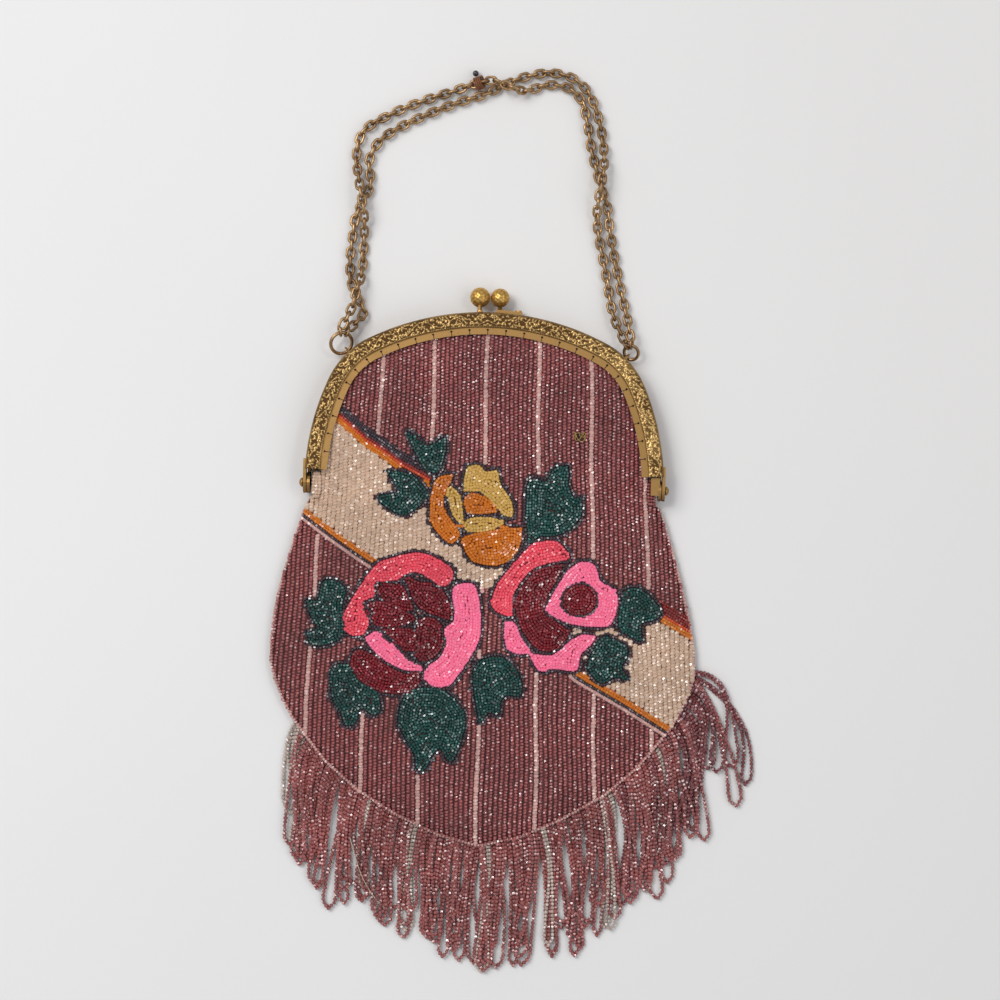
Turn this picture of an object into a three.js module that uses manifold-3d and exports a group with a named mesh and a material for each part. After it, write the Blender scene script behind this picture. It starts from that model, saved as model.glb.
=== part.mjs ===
// A beaded purse of the 1920s, lying flat on its back: arched frame, pouch, fringe and doubled chain.
// Millimetres. X runs across, Y from the fringe to the clasp, Z out of the table.
// The origin lies on the table under the middle of the hinge line.
import * as THREE from 'three';
import { mergeVertices } from 'three/addons/utils/BufferGeometryUtils.js';
import Module from 'manifold-3d';

const wasm = await Module();
wasm.setup();

const rad = THREE.MathUtils.degToRad;
const lerp = THREE.MathUtils.lerp;
const V3 = (x, y, z) => new THREE.Vector3(x, y, z);

// Fits

const GAP = 0.3; // between pieces that lie against each other
const BITE = 0.2; // how far soldered pieces run into each other

// Frame

const FRAME_RISE = 69.4; // from the hinge line to the top of the crown
const FRAME_DEPTH = 12; // both closed halves together, along Z
const CROWN_RADIUS = 104;
const CROWN_TURN = rad(27);
const SHOULDER_RADIUS = 34;
const SHOULDER_TURN = rad(39);
const LEG_RADIUS = 101;
const LEG_END = 5.6; // the band ends this far above the hinge line
const SHEET = 0.9; // thickness of the pressed sheet
const BAND_WIDTH = 6.2; // the embossed band
const FLANGE_WIDTH = 2.6; // the flat strip that the cloth is sewn to
const FLANGE_DROP = 1.0; // how far the flange lies under the band's face
const EDGE_ROUND = 1.3; // rounding of the band's outer edge
const RELIEF = 0.35; // how high the pressed scrolls stand
const SEWING_BAYS = 28; // stretches between the sewing holes
const SEWING_HOLE = 1.1; // across

// Hinge

const EAR_THICK = 1.2;
const EAR_RADIUS = 4.2;
const EAR_ROOT = 4; // how far an ear runs up along its half
const RIVET_SHANK = 1.6; // across
const RIVET_HEAD = 4; // across
const RIVET_HEAD_HIGH = 1.4;
const RIVET_TAIL = 3; // across
const RIVET_TAIL_HIGH = 0.8;
const TAB_REACH = 3; // the bent tab at the right ear, towards the middle
const TAB_LONG = 7;
const TAB_LIFT = 1.5; // its middle over the hinge line
const TAB_THICK = 0.9;

// Clasp

const BALL_LEFT = 7.6; // across
const BALL_RIGHT = 7.2;
const BALL_SPACING = 8; // between the centres
const BALL_SHIFT = 0.6; // the pair stands this far right of the middle
const BALL_LIFT = 6.2; // from the frame's edge to the centres
const STEM_WIDE = 1.8;
const STRIP_LONG = 10.5; // the spring strip under the right ball
const STRIP_WIDE = 3;
const STRIP_THICK = 1.3;
const PIN_WIDE = 1.2; // the pin through the wall
const PIN_HEAD = 2.4;
const PIN_HEAD_HIGH = 0.6;
const HOLE_RUN = 0.4; // how far the pin's hole runs on past the wall

// Rings and chain

const EYE_WIRE = 1.0;
const EYE_OPENING = 3.0; // free width inside an eye
const RING_WIRE_LEFT = 1.4;
const RING_ACROSS_LEFT = 10.4; // outside
const RING_WIRE_RIGHT = 1.3;
const RING_ACROSS_RIGHT = 7.4;
const RING_TILT = rad(30); // the rings lean up from the table
const LINK_DROP = rad(35); // the end links fall from their rings
const LINK_LONG = 5.2; // outside
const LINK_WIDE = 4.2;
const LINK_WIRE = 0.9;
const STRAND_WIDE = 3.6; // a strand of the chain as a tube
const STRAND_SLACK = 0.15; // a chain never lies quite flat
const JOIN_RING = 6; // across the joining collar of wire
const JOIN_LONG = 2.6; // along the strand
const JOIN_BEAD = 2.6;

// Bag and fringe

const CLOTH = 1.6; // beaded cloth with its beads
const CLOTH_EASE = 0.1; // more than GAP between the cloth and a flange
const CLOTH_TUCK = 0.8; // how far the cloth reaches under the flange's outer edge
const CORNER_GAP = 3.8; // from the frame's legs to the corners of the mouth
const MOUTH_CORNER = 1.5; // height of the mouth's corners above the hinge line
const BAG_HALF_WIDTH = 85.8;
const SIDE_DROP = 71; // from the hinge line to the widest place
const HEM_DROP = 73.6; // from the widest place to the lowest point of the hem
const BELLY_HIGH = 10.6; // how high the filled bag stands on the table
const SEAM_HEIGHT = 2.4; // height of the seam's middle over the table
const BAG_LEAN = 1.4; // the lower half lies this far to the right
const FRINGE_DROP = 52; // length of a long loop
const FRINGE_THICK = 3;
const HEAD_BAND = 2.4; // height of the fringe's head along the hem
const LOCK_WIDE = 9.6;

// Materials

const material = (color, roughness, metalness) =>
  new THREE.MeshStandardMaterial({ color, roughness, metalness });
const gilt = () => material(0xa8803c, 0.42, 0.9);
const brightGilt = () => material(0xc79a45, 0.3, 0.95);
const chainMetal = () => material(0x8a6f4c, 0.45, 0.85);
const rustyMetal = () => material(0x7a4526, 0.75, 0.5);
const darkGlass = () => material(0x39464a, 0.25, 0.1);
const mauveBeads = () => material(0x7d4550, 0.3, 0.0);
const fringeBeads = () => material(0x84525a, 0.3, 0.0);

// Solids: everything is joined and cut as a closed body

function toSolid(geometry) {
  const plain = geometry.clone();
  plain.deleteAttribute('normal');
  plain.deleteAttribute('uv');
  const merged = mergeVertices(plain, 1e-4);
  const index = merged.index.array;
  const kept = [];
  for (let k = 0; k < index.length; k += 3) {
    const [a, b, c] = [index[k], index[k + 1], index[k + 2]];
    if (a !== b && b !== c && c !== a) kept.push(a, b, c);
  }
  return new wasm.Manifold(new wasm.Mesh({
    numProp: 3,
    vertProperties: new Float32Array(merged.attributes.position.array),
    triVerts: new Uint32Array(kept),
  }));
}

function toGeometry(solid) {
  const mesh = solid.getMesh();
  const geometry = new THREE.BufferGeometry();
  geometry.setAttribute('position', new THREE.BufferAttribute(new Float32Array(mesh.vertProperties), 3));
  geometry.setIndex(new THREE.BufferAttribute(new Uint32Array(mesh.triVerts), 1));
  geometry.computeVertexNormals();
  return geometry;
}

const fuse = (...geometries) => geometries.map(toSolid).reduce((whole, next) => whole.add(next));
const cut = (solid, ...geometries) =>
  geometries.map(toSolid).reduce((rest, tool) => rest.subtract(tool), solid);

// A closed body through rings of points. All rings have the same number of points and run the same way;
// `cap` gives the triangles of one end, as places in the ring.
function loft(rings, cap) {
  const count = rings[0].length;
  const points = rings.flat();
  const triangles = [];
  for (let row = 0; row + 1 < rings.length; row++) {
    for (let k = 0; k < count; k++) {
      const next = (k + 1) % count;
      const [a, b] = [row * count + k, row * count + next];
      triangles.push([a, b, a + count], [b, b + count, a + count]);
    }
  }
  const last = (rings.length - 1) * count;
  for (const [a, b, c] of cap) {
    triangles.push([a, c, b], [last + a, last + b, last + c]);
  }
  return orient(points, triangles);
}

// Turns the triangles outward where the whole body came out inside out.
function orient(points, triangles) {
  let volume = 0;
  for (const [a, b, c] of triangles) {
    volume += points[a].dot(new THREE.Vector3().crossVectors(points[b], points[c])) / 6;
  }
  const index = triangles.flatMap(([a, b, c]) => (volume < 0 ? [a, c, b] : [a, b, c]));
  const geometry = new THREE.BufferGeometry();
  geometry.setAttribute('position', new THREE.Float32BufferAttribute(points.flatMap((p) => p.toArray()), 3));
  geometry.setIndex(index);
  geometry.computeVertexNormals();
  return geometry;
}

// Cap for a ring that runs along one side and back along the other, with equal numbers of points.
function stripCap(count) {
  const triangles = [];
  for (let k = 0; k + 1 < count / 2; k++) {
    const [far, farNext] = [count - 1 - k, count - 2 - k];
    triangles.push([k, k + 1, far], [k + 1, farNext, far]);
  }
  return triangles;
}

// Cap for a ring of any outline, its triangles running the same way as the ring.
function shapeCap(ring) {
  const outline = ring.map(([x, y]) => new THREE.Vector2(x, y));
  const forward = THREE.ShapeUtils.area(outline) > 0;
  return THREE.ShapeUtils.triangulateShape(outline, []).map((corners) => {
    const same = THREE.ShapeUtils.area(corners.map((k) => outline[k])) > 0 === forward;
    return same ? corners : corners.toReversed();
  });
}

// Puts a shape drawn in its own plane at a place, with its X, Y and Z turned to the given directions.
function place(geometry, origin, xAxis, yAxis, zAxis) {
  const basis = new THREE.Matrix4().makeBasis(xAxis, yAxis, zAxis).setPosition(origin);
  return geometry.clone().applyMatrix4(basis);
}

// A round bar from one point to another.
function bar(from, to, across, sides = 10) {
  const axis = to.clone().sub(from);
  const geometry = new THREE.CylinderGeometry(across / 2, across / 2, axis.length(), sides);
  geometry.applyQuaternion(new THREE.Quaternion().setFromUnitVectors(V3(0, 1, 0), axis.clone().normalize()));
  return geometry.translate(...from.clone().add(to).multiplyScalar(0.5).toArray());
}

// The arch: crown, shoulder and leg as tangent arcs, from the crown's middle down to one side

const arcs = (() => {
  const list = [];
  let [x, y, heading] = [0, FRAME_RISE, 0];
  const bends = [[CROWN_RADIUS, CROWN_TURN], [SHOULDER_RADIUS, SHOULDER_TURN], [LEG_RADIUS, null]];
  for (const [radius, turn] of bends) {
    const centre = [x - radius * Math.sin(heading), y - radius * Math.cos(heading)];
    const end = turn === null ? Math.acos((LEG_END - centre[1]) / radius) : heading + turn;
    list.push({ radius, centre, start: heading, end });
    [x, y] = [centre[0] + radius * Math.sin(end), centre[1] + radius * Math.cos(end)];
    heading = end;
  }
  return list;
})();
const ARCH_LENGTH = arcs.reduce((sum, arc) => sum + arc.radius * (arc.end - arc.start), 0);

// The place on the arch at a length from the crown's middle, a distance inside the outer edge.
function archPoint(length, inset) {
  let rest = Math.abs(length);
  const side = length < 0 ? -1 : 1;
  let arc = arcs[0];
  for (let k = 0; k < arcs.length; k++) {
    arc = arcs[k];
    const span = arc.radius * (arc.end - arc.start);
    if (rest <= span || k === arcs.length - 1) break;
    rest -= span;
  }
  const heading = arc.start + rest / arc.radius;
  const reach = arc.radius - inset;
  return {
    x: side * (arc.centre[0] + reach * Math.sin(heading)),
    y: arc.centre[1] + reach * Math.cos(heading),
    out: V3(side * Math.sin(heading), Math.cos(heading), 0),
    along: V3(Math.cos(heading), -side * Math.sin(heading), 0),
  };
}

// The length along the arch, a distance inside its edge, at which its leg reaches a height.
function archLengthAt(height, inset) {
  const leg = arcs[2];
  const before = ARCH_LENGTH - leg.radius * (leg.end - leg.start);
  return before + leg.radius * (Math.acos((height - leg.centre[1]) / (leg.radius - inset)) - leg.start);
}

const LEG_X = archPoint(ARCH_LENGTH, 0).x;
const MID = FRAME_DEPTH / 2;
const HALF_GAP = GAP / 2;

// One half of the frame: a channel of sheet along the arch. `side` is +1 for the front, -1 for the back.
// Inset from the outer edge and height over the middle plane, from the outer wall round the face.
function channelProfile(relief) {
  const top = MID;
  const face = BAND_WIDTH - EDGE_ROUND;
  return [
    [0, HALF_GAP], [0, top - EDGE_ROUND], [EDGE_ROUND * 0.4, top - EDGE_ROUND * 0.35],
    [EDGE_ROUND, top - RELIEF + relief], [lerp(EDGE_ROUND, face, 0.5), top - relief],
    [face, top - RELIEF + relief], [BAND_WIDTH, top - FLANGE_DROP],
    [BAND_WIDTH + FLANGE_WIDTH, top - FLANGE_DROP],
    [BAND_WIDTH + FLANGE_WIDTH, top - FLANGE_DROP - SHEET * 0.8],
    [BAND_WIDTH - SHEET * 0.6, top - FLANGE_DROP - SHEET * 0.8],
    [face - SHEET * 0.3, top - SHEET - RELIEF], [EDGE_ROUND + SHEET * 0.4, top - SHEET - RELIEF],
    [SHEET, top - EDGE_ROUND - SHEET * 0.5], [SHEET, HALF_GAP],
  ];
}

function channel(side, relief) {
  const steps = SEWING_BAYS * 2;
  const rings = [];
  for (let k = 0; k <= steps; k++) {
    const length = lerp(-ARCH_LENGTH, ARCH_LENGTH, k / steps);
    const profile = channelProfile(relief * (k % 2));
    rings.push(profile.map(([inset, lift]) => {
      const at = archPoint(length, inset);
      return V3(at.x, at.y, MID + side * lift);
    }));
  }
  return loft(rings, shapeCap(channelProfile(0)));
}

// The sewing holes, at the seam of band and flange, one to each bay.
function sewingHoles(side) {
  const holes = [];
  for (let k = 1; k < SEWING_BAYS; k++) {
    const at = archPoint(lerp(-ARCH_LENGTH, ARCH_LENGTH, k / SEWING_BAYS), BAND_WIDTH + SEWING_HOLE * 0.75);
    const hole = new THREE.CylinderGeometry(SEWING_HOLE / 2, SEWING_HOLE / 2, SHEET * 3, 4);
    hole.rotateX(Math.PI / 2);
    holes.push(hole.translate(at.x, at.y, MID + side * (MID - FLANGE_DROP - SHEET * 0.4)));
  }
  return holes;
}

// An ear: a plate across X, round about the hinge line, with a strip up along its half.
function earPlate(innerX, side) {
  const reach = MID - EDGE_ROUND;
  const disc = new THREE.CylinderGeometry(EAR_RADIUS, EAR_RADIUS, EAR_THICK, 20);
  disc.rotateZ(Math.PI / 2).translate(innerX + EAR_THICK / 2, 0, MID);
  const stripTop = LEG_END + EAR_ROOT;
  const strip = new THREE.BoxGeometry(EAR_THICK, stripTop, reach - HALF_GAP);
  strip.translate(innerX + EAR_THICK / 2, stripTop / 2, MID + side * (HALF_GAP + reach) / 2);
  return [disc, strip];
}

// Where the ears stand, at the right-hand side: the front half's outside, the back half's inside of it.
const FRONT_EAR_X = LEG_X - SHEET / 2;
const BACK_EAR_X = FRONT_EAR_X - GAP - EAR_THICK;
const mirrorX = (geometry) => {
  const mirrored = geometry.clone().scale(-1, 1, 1);
  const index = mirrored.index.array;
  for (let k = 0; k < index.length; k += 3) [index[k], index[k + 1]] = [index[k + 1], index[k]];
  return mirrored;
};

function rivetHole(x) {
  const across = RIVET_SHANK + 2 * GAP;
  return bar(V3(x - EAR_THICK, 0, MID), V3(x + 2 * EAR_THICK, 0, MID), across, 10);
}

function frameHalf(side, earX, extras, holes) {
  let solid = toSolid(channel(side, RELIEF));
  const plates = earPlate(earX, side);
  for (const plate of plates) {
    solid = solid.add(toSolid(plate)).add(toSolid(mirrorX(plate)));
  }
  for (const extra of extras) solid = solid.add(extra);
  const hinge = rivetHole(earX);
  return cut(solid, hinge, mirrorX(hinge), ...sewingHoles(side), ...holes);
}

// Clasp: each ball stands on a stem, with a pin through the wall of its half

const CLASP_X = { left: BALL_SHIFT - BALL_SPACING / 2, right: BALL_SHIFT + BALL_SPACING / 2 };
const BALL_Y = FRAME_RISE + BALL_LIFT;
const PIN_Z = (MID - HALF_GAP - EDGE_ROUND) / 2 + HALF_GAP; // from the middle plane to a pin

// The length along the arch at a distance right of the middle, on the crown.
const crownLength = (x) => CROWN_RADIUS * Math.asin(x / CROWN_RADIUS);

// The pin with its inner head, through the wall of one half at a place on the crown.
function wallPin(x, z) {
  const at = archPoint(crownLength(x), 0);
  const wall = (inset) => V3(at.x, at.y, z).addScaledVector(at.out, -inset);
  const headTop = SHEET + GAP;
  return {
    shank: bar(wall(-GAP - BITE), wall(headTop + PIN_HEAD_HIGH / 2), PIN_WIDE, 8),
    head: bar(wall(headTop), wall(headTop + PIN_HEAD_HIGH), PIN_HEAD, 8),
    foot: wall(-GAP),
    hole: bar(wall(-1), wall(headTop - GAP + HOLE_RUN), PIN_WIDE + 2 * GAP, 8),
  };
}

function claspLeft() {
  const z = MID + PIN_Z;
  const pin = wallPin(CLASP_X.left, z);
  const centre = V3(CLASP_X.left, BALL_Y, MID + BITE);
  const ball = new THREE.SphereGeometry(BALL_LEFT / 2, 14, 10).translate(...centre.toArray());
  const collar = bar(pin.foot, pin.foot.clone().add(V3(0, PIN_HEAD_HIGH, 0)), PIN_HEAD, 10);
  const stem = bar(pin.foot.clone().add(V3(0, BITE, 0)), centre, STEM_WIDE);
  return { solid: fuse(ball, stem, collar, pin.shank, pin.head), hole: pin.hole };
}

function claspRight() {
  const z = MID - PIN_Z;
  const start = crownLength(CLASP_X.right) - STRIP_WIDE / 2;
  const end = start + STRIP_LONG;
  const rings = [];
  const steps = 4;
  for (let k = 0; k <= steps; k++) {
    const length = lerp(start, end, k / steps);
    rings.push([[GAP, -1], [GAP, 1], [GAP + STRIP_THICK, 1], [GAP + STRIP_THICK, -1]].map(([lift, way]) => {
      const at = archPoint(length, -lift);
      return V3(at.x, at.y, z + (way * STRIP_WIDE) / 2);
    }));
  }
  const strip = loft(rings, [[0, 1, 2], [0, 2, 3]]);
  const pin = wallPin(archPoint(end - STRIP_WIDE / 2, 0).x, z);
  const rivet = bar(pin.foot.clone().addScaledVector(V3(0, 1, 0), STRIP_THICK - BITE),
    pin.foot.clone().addScaledVector(V3(0, 1, 0), STRIP_THICK + PIN_HEAD_HIGH), PIN_HEAD, 8);
  const centre = V3(CLASP_X.right, BALL_Y, MID - BITE);
  const foot = V3(CLASP_X.right, archPoint(crownLength(CLASP_X.right), -GAP - STRIP_THICK / 2).y, z);
  const ball = new THREE.SphereGeometry(BALL_RIGHT / 2, 14, 10).translate(...centre.toArray());
  const stem = bar(foot, centre, STEM_WIDE);
  return { solid: fuse(ball, stem, strip, pin.shank, pin.head, rivet), hole: pin.hole };
}

function hingeRivet() {
  const outer = FRONT_EAR_X + EAR_THICK + GAP;
  const inner = BACK_EAR_X - GAP;
  const dome = [new THREE.Vector2(0, 0)];
  for (let k = 0; k <= 4; k++) {
    const turn = (k / 4) * (Math.PI / 2);
    dome.push(new THREE.Vector2((RIVET_HEAD / 2) * Math.cos(turn), RIVET_HEAD_HIGH * Math.sin(turn)));
  }
  dome[dome.length - 1].x = 0;
  const cap = new THREE.LatheGeometry(dome, 14).rotateZ(-Math.PI / 2).translate(outer, 0, MID);
  const [tailEnd, headEnd] = [inner - RIVET_TAIL_HIGH / 2, outer + RIVET_HEAD_HIGH / 2];
  const shank = bar(V3(tailEnd, 0, MID), V3(headEnd, 0, MID), RIVET_SHANK);
  const tail = bar(V3(inner - RIVET_TAIL_HIGH, 0, MID), V3(inner, 0, MID), RIVET_TAIL, 12);
  return toGeometry(fuse(cap, shank, tail));
}

// Rings: each hangs in an eye that stands out of the back half's wall at the shoulder

const SHOULDER_MIDDLE = crownLengthTotal() + SHOULDER_RADIUS * SHOULDER_TURN * 0.42;
function crownLengthTotal() {
  return CROWN_RADIUS * CROWN_TURN;
}

function ringPlace(way, across, wire) {
  const at = archPoint(way * SHOULDER_MIDDLE, 0);
  const z = MID - HALF_GAP - EYE_OPENING / 2 - EYE_WIRE;
  const reach = wire / 2 + GAP;
  const seat = V3(at.x, at.y, z).addScaledVector(at.out, reach); // the ring's wire, inside the eye
  const lean = at.out.clone().multiplyScalar(Math.cos(RING_TILT)).add(V3(0, 0, Math.sin(RING_TILT)));
  const radius = (across - wire) / 2;
  const centre = seat.clone().addScaledVector(lean, radius);
  const normal = new THREE.Vector3().crossVectors(lean, at.along).normalize();
  return { at, z, reach, lean, radius, centre, normal, along: at.along, wire };
}

const RINGS = {
  left: ringPlace(-1, RING_ACROSS_LEFT, RING_WIRE_LEFT),
  right: ringPlace(1, RING_ACROSS_RIGHT, RING_WIRE_RIGHT),
};

// A staple of wire: the outer part of a loop, its ends in the wall and the ring's wire in its bend.
function eye(ring) {
  const lift = ring.reach + ring.wire / 2 + GAP - EYE_OPENING / 2;
  const foot = V3(ring.at.x, ring.at.y, ring.z).addScaledVector(ring.at.out, lift);
  const radius = (EYE_OPENING + EYE_WIRE) / 2;
  const side = new THREE.Vector3().crossVectors(V3(0, 0, 1), ring.at.out);
  const wire = new THREE.TorusGeometry(radius, EYE_WIRE / 2, 6, 16);
  const size = 2 * (radius + EYE_WIRE);
  const outside = new THREE.BoxGeometry(size, size, size).translate(0, size / 2 - lift - SHEET / 2, 0);
  const placed = (geometry) => toSolid(place(geometry, foot, V3(0, 0, 1), ring.at.out, side));
  return placed(wire).intersect(placed(outside));
}

function ringGeometry(ring) {
  const torus = new THREE.TorusGeometry(ring.radius, ring.wire / 2, 6, 18);
  return place(torus, ring.centre, ring.lean, ring.along, ring.normal);
}

// An oval link as an exact closed torus, long along X and lying in the XY plane.
function linkGeometry(long, wide, wire, around = 12, sides = 6) {
  const torus = new THREE.TorusGeometry(1, 0.1, sides, around);
  const position = torus.attributes.position;
  for (let j = 0; j <= sides; j++) {
    for (let k = 0; k <= around; k++) {
      const turn = (2 * Math.PI * k) / around;
      const roll = (2 * Math.PI * j) / sides;
      const reach = (wire / 2) * Math.cos(roll);
      const x = (long - wire) / 2 + reach;
      const y = (wide - wire) / 2 + reach;
      const z = (wire / 2) * Math.sin(roll);
      position.setXYZ(j * (around + 1) + k, x * Math.cos(turn), y * Math.sin(turn), z);
    }
  }
  return torus;
}

// An end link on a ring: `turn` is its place round the ring, from the side away from the eye. It falls
// from the leaning ring towards the table.
function endLink(ring, turn) {
  const outward = ring.lean.clone().multiplyScalar(Math.cos(turn))
    .addScaledVector(ring.along, Math.sin(turn));
  const up = ring.normal.z > 0 ? ring.normal.clone() : ring.normal.clone().negate();
  const wireAt = ring.centre.clone().addScaledVector(outward, ring.radius);
  const heading = outward.multiplyScalar(Math.cos(LINK_DROP)).addScaledVector(up, -Math.sin(LINK_DROP));
  const slack = LINK_LONG / 2 - LINK_WIRE - ring.wire / 2 - GAP;
  const centre = wireAt.clone().addScaledVector(heading, slack);
  const tangent = new THREE.Vector3().crossVectors(up, heading).normalize();
  const across = new THREE.Vector3().crossVectors(tangent, heading);
  const geometry = place(linkGeometry(LINK_LONG, LINK_WIDE, LINK_WIRE), centre, heading, across,
    new THREE.Vector3().crossVectors(heading, across));
  return { geometry, tip: centre.clone().addScaledVector(heading, LINK_LONG / 2), heading };
}

const LINK_TURNS = {
  left: { outer: rad(33), inner: rad(68) },
  right: { outer: rad(-42), inner: rad(-80) },
};

// Chain: two strands side by side, crossing and twisting.
// Each row: x, y, and how high the strand rides, 0 on the table and 1 over the other strand.
const OUTER_ROUTE = [
  [-54.2, 71.5, 1], [-53.1, 76.3, 1], [-51.8, 81, 0.7], [-51, 86.5, 0.1], [-50.8, 92.5, 0],
  [-50.6, 98.5, 0], [-50.5, 104, 0.45], [-50.8, 109, 1], [-52, 115.5, 1.05], [-53.2, 122, 0.6],
  [-54.2, 128, 0.1], [-54.3, 134, 0], [-51.8, 141.5, 0], [-42.8, 147.7, 0], [-29.9, 153.6, 0],
  [-16.3, 158.4, 0], [-7, 161.4, 0.4], [-0.4, 162.4, 1], [4.2, 160.9, 1.05], [8.8, 159.4, 1],
  [12.6, 159.1, 0.4], [16.9, 160.4, 0], [21, 161.7, 0], [25.8, 161.8, 0], [31, 160.2, 0],
  [35.4, 155.6, 0], [38, 146.1, 0], [39.6, 137, 0], [41.6, 129.3, 0], [43.8, 122, 0], [46.5, 114.5, 0],
  [47.9, 104.5, 0], [50.3, 92, 0], [52, 84.5, 0], [53.7, 77, 0.05], [55.6, 69.5, 0.3],
];
const INNER_ROUTE = [
  [-50.1, 69, 0.1], [-52.6, 74.5, 0], [-55.3, 80.5, 0], [-56, 90.1, 0], [-55.2, 99.5, 0],
  [-53.8, 108.5, 0], [-50.6, 114.8, 0], [-48.6, 120.5, 0], [-49.2, 130, 0], [-45.8, 137.1, 0],
  [-38.4, 142.8, 0], [-27.4, 148.4, 0], [-15, 153.6, 0], [-5.4, 156.8, 0], [1.7, 160, 0],
  [7.9, 163.1, 0], [14, 165.3, 0], [21, 166.6, 0], [28, 166, 0.1], [33.7, 163.4, 0.2], [38, 159, 0.1],
  [42.2, 149.3, 0.1], [44.4, 139, 0.1], [44.9, 131, 0.6], [44.5, 126, 1.05], [43.7, 121, 1.1],
  [43, 116, 1], [42.6, 111, 0.5], [43.1, 104, 0.05], [44.2, 98, 0], [45.6, 92, 0], [47.2, 84, 0],
  [48.6, 76.5, 0.1], [50.2, 69.5, 0.5],
];

function strandCurve(route, startLink, lastLink) {
  const ride = (level) => STRAND_WIDE / 2 + STRAND_SLACK + level * (STRAND_WIDE + GAP);
  const points = route.map(([x, y, level]) => V3(x, y, ride(level)));
  const leave = (link, way) => link.tip.clone().addScaledVector(link.heading, way);
  const run = STRAND_WIDE * 0.7; // straight on from the end link
  return new THREE.CatmullRomCurve3([leave(startLink, GAP), leave(startLink, GAP + run), ...points,
    leave(lastLink, GAP + run), leave(lastLink, GAP)], false, 'centripetal');
}

function strandGeometry(curve) {
  const sides = 8;
  const ring = new THREE.Shape();
  for (let k = 0; k < sides; k++) {
    const turn = (2 * Math.PI * (k + 0.5)) / sides;
    const [x, y] = [(STRAND_WIDE / 2) * Math.cos(turn), (STRAND_WIDE / 2) * Math.sin(turn)];
    if (k === 0) ring.moveTo(x, y);
    else ring.lineTo(x, y);
  }
  ring.closePath();
  const steps = Math.round(curve.getLength() / (STRAND_WIDE * 2.2));
  return new THREE.ExtrudeGeometry(ring, { steps, extrudePath: curve, bevelEnabled: false });
}

// The join: a collar of wire wound round the outer strand at the top of the loop, with a small bead.
const JOIN_X = -6;

function joinPlace(curve) {
  const away = (u) => Math.abs(curve.getPointAt(u).x - JOIN_X);
  const share = [...Array(201).keys()].map((k) => k / 200)
    .reduce((best, u) => (away(u) < away(best) ? u : best));
  return { centre: curve.getPointAt(share), along: curve.getTangentAt(share) };
}

function joinRing({ centre, along }) {
  const inner = STRAND_WIDE / 2 + GAP;
  const outer = JOIN_RING / 2;
  const half = JOIN_LONG / 2;
  const bevel = (outer - inner) / 2;
  const profile = [[inner, -half], [outer - bevel, -half], [outer, -half + bevel], [outer, half - bevel],
    [outer - bevel, half], [inner, half], [inner, -half]].map(([x, y]) => new THREE.Vector2(x, y));
  const collar = new THREE.LatheGeometry(profile, 14);
  collar.applyQuaternion(new THREE.Quaternion().setFromUnitVectors(V3(0, 1, 0), along));
  return toGeometry(toSolid(collar.translate(...centre.toArray())));
}

function joinBead({ centre }) {
  const away = V3(-0.35, 0.88, -0.32).normalize();
  const at = centre.clone().addScaledVector(away, JOIN_RING / 2 + GAP + JOIN_BEAD / 2);
  return new THREE.SphereGeometry(JOIN_BEAD / 2, 10, 7).translate(...at.toArray());
}

// The bag: rows of points from the mouth's arch down to the hem, ending on the outline.

const MOUTH_INSET = BAND_WIDTH + CLOTH_TUCK;
const MOUTH_LENGTH = archLengthAt(MOUTH_CORNER, MOUTH_INSET);
const CORNER_X = LEG_X - CORNER_GAP - EAR_THICK * 1.5;

// Outline of one side. Down: share of the drop to the widest place. Out: share of the way from the
// mouth's corner to the widest place.
const SIDE_ROWS = [
  { down: 0.03, out: 0.05 }, { down: 0.075, out: 0.15 }, { down: 0.11, out: 0.27 },
  { down: 0.175, out: 0.36 }, { down: 0.394, out: 0.6 }, { down: 0.63, out: 0.83 },
  { down: 0.82, out: 0.95 }, { down: 1, out: 1 },
];
// The rest of the outline, along the hem. Out: share of the half width. Down: share of the hem's drop.
const HEM_ROWS = [
  { out: 0.985, down: 0.09 }, { out: 0.95, down: 0.2 }, { out: 0.9, down: 0.31 }, { out: 0.836, down: 0.41 },
  { out: 0.74, down: 0.55 }, { out: 0.57, down: 0.72 }, { out: 0.36, down: 0.862 }, { out: 0.16, down: 0.96 },
  { out: 0, down: 1 },
];

const outline = (() => {
  const corner = [CORNER_X, MOUTH_CORNER];
  const sides = SIDE_ROWS.map(({ down, out }) => [lerp(corner[0], BAG_HALF_WIDTH, out), -down * SIDE_DROP]);
  const hem = HEM_ROWS.map(({ out, down }) => [out * BAG_HALF_WIDTH, -SIDE_DROP - down * HEM_DROP]);
  const points = [corner, ...sides, ...hem].map(([x, y]) => V3(x, y, 0));
  return new THREE.CatmullRomCurve3(points, false, 'centripetal');
})();
const leanAt = (y) => BAG_LEAN * THREE.MathUtils.smoothstep(-y, SIDE_DROP * 0.5, SIDE_DROP + HEM_DROP * 0.2);

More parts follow.
